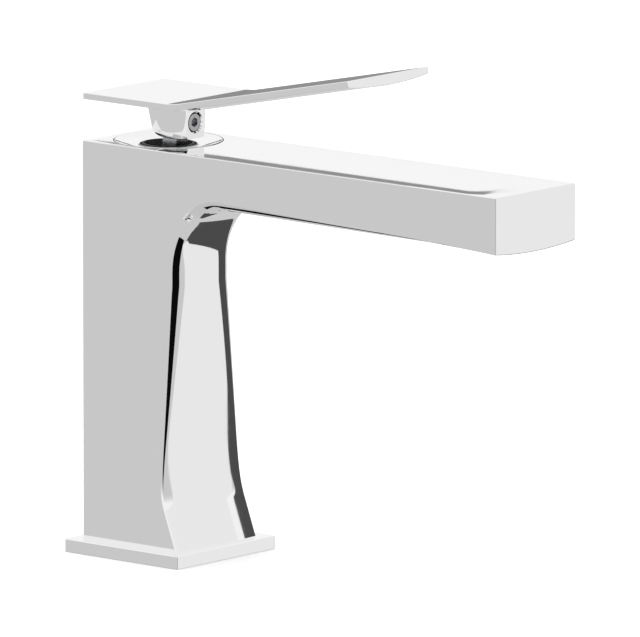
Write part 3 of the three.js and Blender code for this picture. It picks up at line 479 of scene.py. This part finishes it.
def smooth(obj, angle=32.0):
    """Smooth shading that keeps flats flat and edges over the angle crisp."""
    outward(obj)
    work = bmesh.new()
    work.from_mesh(obj.data)
    bmesh.ops.remove_doubles(work, verts=work.verts, dist=1e-7)
    bmesh.ops.dissolve_degenerate(work, edges=work.edges, dist=1e-7)
    work.to_mesh(obj.data)
    work.free()
    for polygon in obj.data.polygons:
        polygon.use_smooth = True
    obj.data.set_sharp_from_angle(angle=math.radians(angle))
    weighted = obj.modifiers.new("weighted", "WEIGHTED_NORMAL")
    weighted.mode = "FACE_AREA"
    weighted.weight = 100
    weighted.keep_sharp = True
    return apply_modifiers(obj)


def settle(obj, body, nodes, kind):
    """Gives a finished piece its material and body, and hides the CAD nodes that it replaces."""
    obj.data.materials.clear()
    obj.data.materials.append(finish_of(kind))
    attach(obj, body)
    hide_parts(*nodes)
    return obj


def lerp(low, high, share):
    """The value at a share of the way from low to high, and never past either."""
    return low + (high - low) * max(0.0, min(1.0, share))


def section(outer, inner, half, crown, roll, edge, dish=0.0, roll_steps=16, crown_steps=20):
    """One slice of a crowned bar.

    outer and inner are (Y, Z) pairs. The outer side is flat or slightly dished, with broken
    corners of radius edge. The inner side is crowned and rolls into the flanks.
    """
    outer = Vector(outer)
    inner = Vector(inner)
    depth = (inner - outer).length + crown
    along = (inner - outer).normalized()
    crown_radius = (half * half + crown * crown) / (2 * crown)
    crown_centre = depth - crown_radius
    meet = math.asin((half - roll) / (crown_radius - roll))
    roll_centre = crown_centre + (crown_radius - roll) * math.cos(meet)
    side = arc((half - edge, edge), edge, -90, 0, 4)
    side += [
        (half - roll + roll * math.cos(a), roll_centre + roll * math.sin(a))
        for a in [(math.pi / 2 - meet) * step / roll_steps for step in range(roll_steps + 1)]
    ]
    middle = []
    for step in range(1, crown_steps):
        angle = meet * (1 - 2 * step / crown_steps)
        middle.append((
            crown_radius * math.sin(angle),
            crown_centre + crown_radius * math.cos(angle),
        ))
    mirrored = [(-x, t) for x, t in reversed(side)]
    back = [
        (-(half - edge) * (1 - 2 * step / 16), 0.0) for step in range(1, 16)
    ]
    points = side + middle + mirrored + back
    lifted = []
    for x, t in points:
        rise = dish * (1 - min(1.0, abs(x) / (half - edge)) ** DISH_POWER) if t < edge else 0.0
        place = outer + along * (t + rise)
        lifted.append(Vector((x, place.x, place.y)))
    return lifted


def column_front(shape, foot_z):
    """The column's front edge line from the plate up to where it is upright."""
    foot = Vector((-shape.foot_depth, foot_z))
    knee = Vector((-shape.knee_depth, foot_z + shape.knee_rise))
    top = Vector((-shape.upright_depth, knee.y + shape.knee_length))
    lead = knee + (knee - foot) * FLARE_LEAD
    pull = Vector((top.x, top.y - shape.knee_length * KNEE_PULL))
    line = [foot.lerp(knee, step / 8) for step in range(8)]
    for step in range(25):
        t = step / 24
        u = 1 - t
        line.append(knee * u ** 3 + lead * 3 * u * u * t + pull * 3 * u * t * t + top * t ** 3)
    return line


def body_rings(shape):
    """Slices of the body from the plate up the column, round the corner and out to the tip."""
    half = BODY_HIGH.x
    back = BODY_HIGH.y
    height = BODY_HIGH.z
    tip = BODY_LOW.y
    foot_z = PLATE_HIGH.z
    edge = shape.edge
    corner_y = -shape.upright_depth - shape.fillet
    corner_z = height - shape.spout_thickness - shape.fillet
    rings = []

    def add(outer, inner, roll, dish=0.0, shrink=0.0):
        along = (Vector(inner) - Vector(outer)).normalized() * shrink
        rings.append(section(
            Vector(outer) + along, Vector(inner) - along, half - shrink, shape.crown,
            max(roll - shrink, edge * LEAST_ROLL), max(edge - shrink, edge * LEAST_EDGE), dish,
        ))

    def column_roll(z):
        share = (z - shape.roll_start) / (shape.roll_full - shape.roll_start)
        return lerp(edge, shape.roll_column, share)

    front = column_front(shape, foot_z)
    for line in front:
        add((back, line.y), tuple(line), column_roll(line.y))
    top = front[-1].y
    for step in range(1, 25):
        z = lerp(top, corner_z, step / 24)
        add((back, z), (-shape.upright_depth, z), column_roll(z))
    outer = [(back, lerp(corner_z, height - edge, step / 12)) for step in range(1, 13)]
    outer += arc((back - edge, height - edge), edge, 0, 90, 4)[1:]
    outer += [(lerp(back - edge, corner_y, step / 16), height) for step in range(1, 17)]
    centre = Vector((corner_y, corner_z))
    for place in outer:
        ray = (Vector(place) - centre).normalized()
        turn = math.atan2(ray.y, ray.x) / (math.pi / 2)
        roll = lerp(shape.roll_column, shape.roll_spout, turn)
        dish = shape.top_dish if place[1] >= height - 1e-9 else 0.0
        add(place, tuple(centre + ray * shape.fillet), roll, dish)
    end = tip + shape.roll_end

    def underside(y):
        dip = max(0.0, (tip + shape.tip_dip - y) / shape.tip_dip)
        swell = shape.tip_thickness - shape.spout_thickness
        return height - shape.spout_thickness - swell * dip ** 2

    def spout_roll(y):
        return lerp(shape.roll_spout, edge, (y - corner_y) / (end - corner_y))

    for step in range(1, 61):
        y = lerp(corner_y, tip + edge, step / 60)
        fade = lerp(1.0, 0.0, (end - y) / shape.roll_end)
        add((y, height), (y, underside(y)), spout_roll(y), shape.top_dish * fade)
    for step in range(1, 5):
        angle = math.radians(90 * step / 4)
        y = tip + edge - edge * math.sin(angle)
        add((y, height), (y, underside(y)), spout_roll(y), 0.0, edge * (1 - math.cos(angle)))
    return rings


def hose_space_cutters(ceiling):
    """The space in the column for the hoses, the inlet bores and the stud's hole."""
    throat = rod("throat", THROAT_RADIUS, 0.0, THROAT_TOP)
    corners = [(-WIDE, -WIDE), (WIDE, -WIDE), (WIDE, HOSE_FRONT), (-WIDE, HOSE_FRONT)]
    keep = prism("keep", corners, -OVERCUT, THROAT_TOP + OVERCUT)
    throat = combine(throat, [keep], "DIFFERENCE")
    outline = []
    for x, y, start in (
        (HOSE_HALF, HOSE_HALF, 0),
        (-HOSE_HALF, HOSE_HALF, 90),
        (-HOSE_HALF, HOSE_FRONT, 180),
        (HOSE_HALF, HOSE_FRONT, 270),
    ):
        centre = (x - math.copysign(HOSE_ROUND, x), y - math.copysign(HOSE_ROUND, y))
        outline += arc(centre, HOSE_ROUND, start, start + 90, 8)
    cutters = [throat, prism("space", outline, HOSE_FLOOR, ceiling)]
    inlet_top = ceiling + INLET_DEPTH
    for side in (-1, 1):
        inlet = (side * INLET_PLACE[0], INLET_PLACE[1])
        cutters.append(rod("inlet", INLET_RADIUS, ceiling - OVERCUT, inlet_top, inlet, 48))
        port = (side * PORT_PLACE[0], PORT_PLACE[1])
        cutters.append(rod("port", PORT_RADIUS, inlet_top - OVERCUT, ceiling + PORT_TOP, port, 32))
    stud = (0, (STUD_LOW.y + STUD_HIGH.y) / 2)
    cutters.append(rod("stud_hole", STUD_HOLE_RADIUS, 0.0, STUD_HOLE_TOP, stud, 48))
    return cutters


class MIXER_OT_body(bpy.types.Operator):
    """Builds the column and spout as one chromed casting"""

    bl_idname = "mixer.body"
    bl_label = "Column and spout"

    def execute(self, context):
        shape = context.scene.mixer_body
        body = loft("body_shell", body_rings(shape))
        seat = COVER_LOW.z
        chamber_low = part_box("cartridge_base")[0].z
        head_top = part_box("retaining_nut")[0].z
        nut_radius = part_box("retaining_nut")[1].x + CLEARANCE
        aerator_y = (AERATOR_LOW.y + AERATOR_HIGH.y) / 2
        aerator_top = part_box("aerator_washer")[1].z
        spigot = rod("spigot", SPIGOT_RADIUS, BODY_LOW.z, PLATE_HIGH.z + OVERCUT)
        body = combine(body, [spigot], "UNION")
        cutters = [
            rod("cover_bore", COVER_HIGH.x + CLEARANCE, seat, BODY_HIGH.z + OVERCUT, segments=128),
            rod("nut_bore", nut_radius, head_top - 0.1 * OVERCUT, seat + OVERCUT),
            rod("chamber", CHAMBER_RADIUS, chamber_low, head_top),
            rod("aerator_socket", AERATOR_HIGH.x + CLEARANCE, AERATOR_LOW.z - AERATOR_MOUTH,
                aerator_top, (0, aerator_y)),
            *hose_space_cutters(chamber_low - HOSE_TO_CHAMBER),
        ]
        body = combine(body, cutters, "DIFFERENCE")
        smooth(body)
        settle(body, "root", ["body_casting"], "chrome")
        return {"FINISHED"}


class MIXER_OT_base_plate(bpy.types.Operator):
    """Builds the square base plate with softly broken upper edges"""

    bl_idname = "mixer.base_plate"
    bl_label = "Base plate"

    def execute(self, context):
        edge = context.scene.mixer_trim.plate_edge
        half = (PLATE_HIGH.x - PLATE_LOW.x) / 2
        centre_y = (PLATE_LOW.y + PLATE_HIGH.y) / 2

        def level(side, z):
            outline = []
            for x, y, start in ((1, 1, 0), (-1, 1, 90), (-1, -1, 180), (1, -1, 270)):
                place = (x * (side - edge), centre_y + y * (side - edge))
                outline += arc(place, edge, start, start + 90, 4)
            return [Vector((x, y, z)) for x, y in outline]

        rings = [level(half, PLATE_LOW.z), level(half, PLATE_HIGH.z - edge)]
        for step in range(1, 5):
            angle = math.radians(90 * step / 4)
            side = half - edge + edge * math.cos(angle)
            rings.append(level(side, PLATE_HIGH.z - edge + edge * math.sin(angle)))
        plate = loft("base_plate_shell", rings)
        seal_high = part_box("base_seal")[1]
        under = PLATE_LOW.z - OVERCUT
        hole = rod("hole", PLATE_HOLE_RADIUS, under, PLATE_HIGH.z + OVERCUT)
        groove_outer = seal_high.x + CLEARANCE
        groove_top = seal_high.z + CLEARANCE
        groove = turned("groove", [
            (SEAL_GROOVE_RADIUS, under), (groove_outer, under),
            (groove_outer, groove_top), (SEAL_GROOVE_RADIUS, groove_top),
        ])
        plate = combine(plate, [hole, groove], "DIFFERENCE")
        smooth(plate)
        settle(plate, "root", ["base_plate"], "chrome")
        return {"FINISHED"}


class MIXER_OT_cover_ring(bpy.types.Operator):
    """Builds the dished cover ring round the hub"""

    bl_idname = "mixer.cover_ring"
    bl_label = "Cover ring"

    def execute(self, context):
        trim = context.scene.mixer_trim
        outer = COVER_HIGH.x
        top = COVER_HIGH.z
        floor = top - trim.cover_dish
        under = floor - COVER_WALL
        profile = [
            (COVER_HOLE_RADIUS, under), (SKIRT_INNER, under), (SKIRT_INNER, COVER_LOW.z),
            (SKIRT_OUTER, COVER_LOW.z), (SKIRT_OUTER, under), (outer, under),
        ]
        profile += arc((outer - COVER_RIM / 2, top - COVER_RIM / 2), COVER_RIM / 2, 0, 90, 4)
        for step in range(16, -1, -1):
            share = step / 16
            radius = lerp(trim.cover_floor, outer - COVER_RIM, share)
            profile.append((radius, floor + trim.cover_dish * share ** 2))
        profile.append((COVER_HOLE_RADIUS + COVER_HOLE_BEVEL, floor))
        profile.append((COVER_HOLE_RADIUS, floor - COVER_HOLE_BEVEL / 2))
        ring = turned("cover_ring_shell", profile, 160)
        smooth(ring, 40.0)
        settle(ring, "root", ["cover_ring"], "chrome")
        return {"FINISHED"}


class MIXER_OT_limit_ring(bpy.types.Operator):
    """Builds the finely toothed temperature limit ring inside the cover ring"""

    bl_idname = "mixer.limit_ring"
    bl_label = "Temperature limit ring"

    def execute(self, context):
        trim = context.scene.mixer_trim
        low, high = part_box("temperature_limit_ring")
        outer = high.x
        root = outer - trim.tooth_depth
        pitch = 2 * math.pi / trim.limit_teeth
        outline = []
        for tooth in range(trim.limit_teeth):
            for share, radius in ((0.0, root), (0.15, outer), (0.5, outer), (0.65, root)):
                angle = pitch * (tooth + share)
                outline.append(Vector((radius * math.cos(angle), radius * math.sin(angle), 0)))
        shoulder = high.z - trim.tooth_bevel
        rings = [[Vector((p.x, p.y, z)) for p in outline] for z in (low.z, shoulder)]
        shrink = (root - trim.tooth_bevel) / root
        rings.append([Vector((p.x * shrink, p.y * shrink, high.z)) for p in outline])
        ring = loft("limit_ring_shell", rings)
        bore = rod("bore", outer - LIMIT_RING_WALL, low.z - OVERCUT, high.z + OVERCUT)
        smooth(combine(ring, [bore], "DIFFERENCE"))
        settle(ring, "root", ["temperature_limit_ring"], "nylon")
        return {"FINISHED"}


def lever_line(shape):
    """Places on the lever's top line with the slope there."""
    top = BODY_HIGH.z + shape.lift
    pitch = shape.pitch
    bend = Vector((-shape.bend_at, top))
    rise = Vector((-math.cos(pitch), math.sin(pitch)))
    start = bend + Vector((shape.bend_length, 0))
    end = bend + rise * shape.bend_length
    tip = bend + rise * ((shape.reach - shape.bend_at) / math.cos(pitch))
    back = Vector((LEVER_HIGH.y, top))
    line = [(back.lerp(start, step / 6), 0.0) for step in range(7)]
    for step in range(1, 25):
        t = step / 24
        place = start * (1 - t) ** 2 + bend * 2 * t * (1 - t) + end * t * t
        line.append((place, pitch * t))
    line += [(end.lerp(tip, step / 16), pitch) for step in range(1, 17)]
    return line


def lever_plate(shape):
    """The flat lever with its bend and softly broken edges."""
    soft = shape.softness
    half = LEVER_HIGH.x
    line = lever_line(shape)
    rings = []

    def add(place, slope, shrink):
        down = Vector((-math.sin(slope), -math.cos(slope)))
        upper = place + down * shrink
        lower = place + down * (shape.edge_height - shrink)
        radius = max(soft - shrink, soft * LEAST_SOFTNESS)
        rings.append(section(
            upper, lower, half - shrink, shape.crown, radius, radius, roll_steps=4, crown_steps=24
        ))

    def ease(place, slope, direction):
        for step in range(4, -1, -1):
            angle = math.radians(90 * step / 4)
            run = Vector((-math.cos(slope), math.sin(slope))) * (soft - soft * math.sin(angle))
            yield place - run * direction, slope, soft * (1 - math.cos(angle))

    for place, slope, shrink in ease(*line[0], -1):
        add(place, slope, shrink)
    for place, slope in line[1:-1]:
        add(place, slope, 0.0)
    for place, slope, shrink in reversed(list(ease(*line[-1], 1))):
        add(place, slope, shrink)
    return loft("lever_plate", rings)


def lever_hub(shape, foot_z, head_z):
    """The tapered hub with its heel rounded at the back and its flat for the screw."""
    rings = []
    for step in range(13):
        angle = math.radians(90 * step / 12)
        inset = shape.heel * (1 - math.sin(angle))
        height = foot_z + shape.heel * (1 - math.cos(angle))
        rings.append(circle(shape.foot_radius - inset, 0.0, -shape.foot_front - inset, height, 128))
    for step in range(1, 9):
        share = step / 8
        radius = lerp(shape.foot_radius, shape.head_radius, share)
        front = lerp(shape.foot_front, shape.head_front, share)
        height = lerp(foot_z + shape.heel, head_z, share)
        rings.append(circle(radius, 0.0, -front, height, 128))
    hub = loft("hub", rings)
    near, far = -shape.flat_front, -2 * WIDE
    corners = [(-WIDE, far), (WIDE, far), (WIDE, near), (-WIDE, near)]
    flat = prism("flat", corners, foot_z - OVERCUT, head_z - 2 * OVERCUT)
    return combine(hub, [flat], "DIFFERENCE")


def hub_cutters(shape):
    """The square socket for the spindle, and the screw's hole with its mouth."""
    half = SOCKET_HALF
    corners = [(-half, -half), (half, -half), (half, half), (-half, half)]
    socket = prism("pocket", corners, 0.0, SOCKET_DEPTH)
    lean = Matrix.Rotation(math.radians(SPINDLE_LEAN), 4, "X")
    socket.data.transform(Matrix.Translation(SPINDLE_PIVOT) @ lean)
    screw_z = (SCREW_LOW.z + SCREW_HIGH.z) / 2
    lay = Matrix.Rotation(math.radians(-90), 4, "X")
    hole = rod("hole", SCREW_HOLE_RADIUS, 0.0, shape.flat_front, segments=64)
    start = Vector((0, -shape.flat_front - OVERCUT, screw_z))
    hole.data.transform(Matrix.Translation(start) @ lay)
    mouth = loft("cone", [
        circle(SCREW_MOUTH_RADIUS, 0.0, 0.0, -SCREW_MOUTH_OUT, 64),
        circle(SCREW_MOUTH_BOTTOM, 0.0, 0.0, SCREW_MOUTH_IN, 64),
    ])
    start = Vector((0, -shape.flat_front, screw_z))
    mouth.data.transform(Matrix.Translation(start) @ lay)
    return [socket, hole, mouth]


class MIXER_OT_lever(bpy.types.Operator):
    """Builds the lever plate with its tapered hub and screw hole"""

    bl_idname = "mixer.lever"
    bl_label = "Lever"

    def execute(self, context):
        shape = context.scene.mixer_lever
        foot_z = BODY_HIGH.z + shape.foot_lift
        head_z = BODY_HIGH.z + shape.lift - shape.edge_height
        lever = lever_plate(shape)
        lever = combine(lever, [lever_hub(shape, foot_z, head_z)], "UNION")
        lever = combine(lever, hub_cutters(shape), "DIFFERENCE")
        lever.name = "lever_shell"
        smooth(lever)
        settle(lever, "lever", ["lever_handle"], "chrome")
        return {"FINISHED"}


class MIXER_OT_fittings(bpy.types.Operator):
    """Gives the carried-over CAD pieces their real materials"""

    bl_idname = "mixer.fittings"
    bl_label = "Inner pieces"

    def execute(self, context):
        kinds = {
            "rubber": ["base_seal", "deck_washer_rubber", "housing_oring", "inlet_seal_hot",
                       "inlet_seal_cold", "disc_seal_hot", "disc_seal_cold", "disc_seal_outlet",
                       "aerator_washer"],
            "stainless": ["deck_washer_metal", "spindle_pin", "spindle", "grub_screw",
                          "aerator_screen"],
            "brass": ["mounting_stud", "stud_nut", "retaining_nut"],
            "acetal": ["cartridge_base", "cartridge_housing", "spindle_guide", "aerator_insert"],
            "nylon": ["disc_carrier"],
            "alumina": ["fixed_disc", "moving_disc"],
            "chrome": ["aerator_housing"],
        }
        for kind, nodes in kinds.items():
            for node in nodes:
                mesh = frame["nodes"][node].data
                mesh.materials.clear()
                mesh.materials.append(finish_of(kind))
        return {"FINISHED"}


# Plain rectangular cards round the faucet: name, bearing and height in degrees (bearing 0 is +X
# and 90 is +Y), lean in degrees, width and length in metres, and colour
CARDS = (
    ("front_softbox", -42, -10, 0, 1.4, 5.0, "#E6E6E6"),
    ("black_flag", -77, -27, 22, 1.7, 4.6, "#0A0A0A"),
    ("grey_flag", -11, -14, 0, 3.1, 5.0, "#484848"),
    ("back_flag", 49, 1, 0, 1.8, 1.05, "#8A8A8A"),
)
CARD_DISTANCE = 4.0
TENT_CENTRE = Vector((0, -0.07, 0.08))
# Height above the horizon, in degrees, at which the tent is fully bright
TENT_BRIGHT_FROM = 9
# Makes up for the light that chrome takes away
TENT_GAIN = 1.12
FLOOR_HALF = 6.0
FLOOR_DROP = 0.1 * MM
LAMP_HEIGHT = 3.0
LAMP_SIZE = 2.5
LAMP_WATTS = 60


def light_only(obj):
    """Keeps a lighting piece out of the picture, so that only reflections show it."""
    obj.visible_camera = False
    obj.visible_diffuse = False
    obj.visible_shadow = False
    obj.visible_transmission = False
    return obj


def glowing_cloth(name, colour):
    """A material that glows evenly, with its tree and glow node."""
    material = bpy.data.materials.new(name)
    material.use_nodes = True
    tree = material.node_tree
    tree.nodes.clear()
    values = {"Strength": TENT_GAIN, "Color": linear(colour)}
    glow = add_node(tree, "ShaderNodeEmission", values=values)
    links = {"Surface": glow.outputs["Emission"]}
    add_node(tree, "ShaderNodeOutputMaterial", links=links)
    return material, tree, glow


def light_tent(radius, wall, roof):
    """A round tent of glowing cloth, with a grey wall that brightens above the horizon."""
    work = bmesh.new()
    bmesh.ops.create_uvsphere(work, u_segments=64, v_segments=32, radius=radius)
    mesh = bpy.data.meshes.new("light_tent")
    work.to_mesh(mesh)
    work.free()
    material, tree, glow = glowing_cloth("light_tent_cloth", wall)
    place = add_node(tree, "ShaderNodeTexCoord")
    parts = add_node(tree, "ShaderNodeSeparateXYZ", links={"Vector": place.outputs["Object"]})
    rise = add_node(
        tree,
        "ShaderNodeMapRange",
        {"interpolation_type": "SMOOTHSTEP"},
        {"From Min": 0.0, "From Max": radius * math.sin(math.radians(TENT_BRIGHT_FROM))},
        {"Value": parts.outputs["Z"]},
    )
    shade = add_node(tree, "ShaderNodeMix", {"data_type": "RGBA"})
    # A Mix node has sockets of one name for each data type, so the colour ones are picked by type
    low, high = [socket for socket in shade.inputs if socket.type == "RGBA"]
    low.default_value = linear(wall)
    high.default_value = linear(roof)
    mixed = next(socket for socket in shade.outputs if socket.type == "RGBA")
    tree.links.new(rise.outputs["Result"], shade.inputs["Factor"])
    tree.links.new(mixed, glow.inputs["Color"])
    mesh.materials.append(material)
    tent = bpy.data.objects.new("light_tent", mesh)
    bpy.context.scene.collection.objects.link(tent)
    tent.location = TENT_CENTRE
    return light_only(tent)


def light_card(name, bearing, height, lean, width, length_up, colour):
    """A flat rectangular card that faces the faucet."""
    x, y = width / 2, length_up / 2
    card = mesh_object(name, [(-x, -y, 0), (x, -y, 0), (x, y, 0), (-x, y, 0)], [(0, 1, 2, 3)])
    angle, rise = math.radians(bearing), math.radians(height)
    level = math.cos(rise)
    away = Vector((math.cos(angle) * level, math.sin(angle) * level, math.sin(rise)))
    turn = away.to_track_quat("Z", "Y").to_matrix().to_4x4()
    lean_turn = Matrix.Rotation(math.radians(lean), 4, "Z")
    card.matrix_world = Matrix.Translation(TENT_CENTRE + away * CARD_DISTANCE) @ turn @ lean_turn
    card.data.materials.append(glowing_cloth(name, colour)[0])
    return light_only(card)


def pale_floor(colour):
    """A wide matt floor, which the chrome doesn't mirror."""
    half = FLOOR_HALF
    corners = [(-half, -half, 0), (half, -half, 0), (half, half, 0), (-half, half, 0)]
    floor = mesh_object("floor", corners, [(0, 1, 2, 3)])
    floor.location.z = -FLOOR_DROP
    values = {"Base Color": linear(colour), "Roughness": 0.7}
    floor.data.materials.append(new_material("floor_paint", values)[0])
    floor.visible_glossy = False


def soft_light():
    """An even white surround and one round softbox overhead."""
    world = bpy.data.worlds.new("studio")
    world.use_nodes = True
    background = world.node_tree.nodes["Background"]
    background.inputs["Color"].default_value = (1, 1, 1, 1)
    background.inputs["Strength"].default_value = 1.0
    bpy.context.scene.world = world
    lamp = bpy.data.lights.new("overhead_softbox", "AREA")
    lamp.shape = "DISK"
    lamp.size = LAMP_SIZE
    lamp.energy = LAMP_WATTS
    overhead = bpy.data.objects.new("overhead_softbox", lamp)
    overhead.location = (0, -0.1, LAMP_HEIGHT)
    overhead.visible_glossy = False
    bpy.context.scene.collection.objects.link(overhead)


def stage_camera(settings):
    """A distant camera with a long lens, aimed at the middle of the faucet."""
    camera = bpy.data.objects.new("camera", bpy.data.cameras.new("camera"))
    camera.location = (settings.camera_x, settings.camera_y, settings.camera_z)
    aim = Vector((settings.aim_x, settings.aim_y, settings.aim_z))
    camera.rotation_euler = (aim - camera.location).to_track_quat("-Z", "Y").to_euler()
    camera.data.lens = settings.lens
    camera.data.sensor_width = 36
    camera.data.clip_end = 100
    bpy.context.scene.collection.objects.link(camera)
    return camera


class MIXER_OT_stage(bpy.types.Operator):
    """Builds the floor, light tent, lamp and camera"""

    bl_idname = "mixer.stage"
    bl_label = "Stage"

    def execute(self, context):
        scene = context.scene
        finishes = scene.mixer_finishes
        pale_floor(finishes.floor)
        light_tent(scene.mixer_stage.tent_radius, finishes.wall, finishes.roof)
        for card in CARDS:
            light_card(*card)
        soft_light()
        scene.camera = stage_camera(scene.mixer_stage)
        scene.view_settings.view_transform = "Standard"
        return {"FINISHED"}


class MIXER_PT_panel(bpy.types.Panel):
    """Lists the mixer's pieces and their settings"""

    bl_idname = "MIXER_PT_panel"
    bl_label = "Basin Mixer"
    bl_space_type = "VIEW_3D"
    bl_region_type = "UI"
    bl_category = "Basin Mixer"

    def draw(self, context):
        for operator in OPERATORS:
            self.layout.operator(operator.bl_idname)
        for group in PROPERTIES:
            settings = getattr(context.scene, group)
            for key in settings.bl_rna.properties.keys():
                if key not in ("rna_type", "name"):
                    self.layout.prop(settings, key)


PROPERTIES = {
    "mixer_body": BodyShape,
    "mixer_lever": LeverShape,
    "mixer_trim": TrimShape,
    "mixer_finishes": Finishes,
    "mixer_stage": StageSettings,
}
OPERATORS = (
    MIXER_OT_stage,
    MIXER_OT_body,
    MIXER_OT_base_plate,
    MIXER_OT_cover_ring,
    MIXER_OT_limit_ring,
    MIXER_OT_lever,
    MIXER_OT_fittings,
)


def register():
    for name, group in PROPERTIES.items():
        bpy.utils.register_class(group)
        setattr(bpy.types.Scene, name, PointerProperty(type=group))
    for operator in OPERATORS:
        bpy.utils.register_class(operator)
    bpy.utils.register_class(MIXER_PT_panel)


def unregister():
    bpy.utils.unregister_class(MIXER_PT_panel)
    for operator in reversed(OPERATORS):
        bpy.utils.unregister_class(operator)
    for name, group in PROPERTIES.items():
        delattr(bpy.types.Scene, name)
        bpy.utils.unregister_class(group)


def main():
    register()
    for operator in OPERATORS:
        area, name = operator.bl_idname.split(".")
        result = getattr(getattr(bpy.ops, area), name)()
        if result != {"FINISHED"}:
            raise RuntimeError(operator.bl_label + " was not finished")


if __name__ == "__main__":
    main()
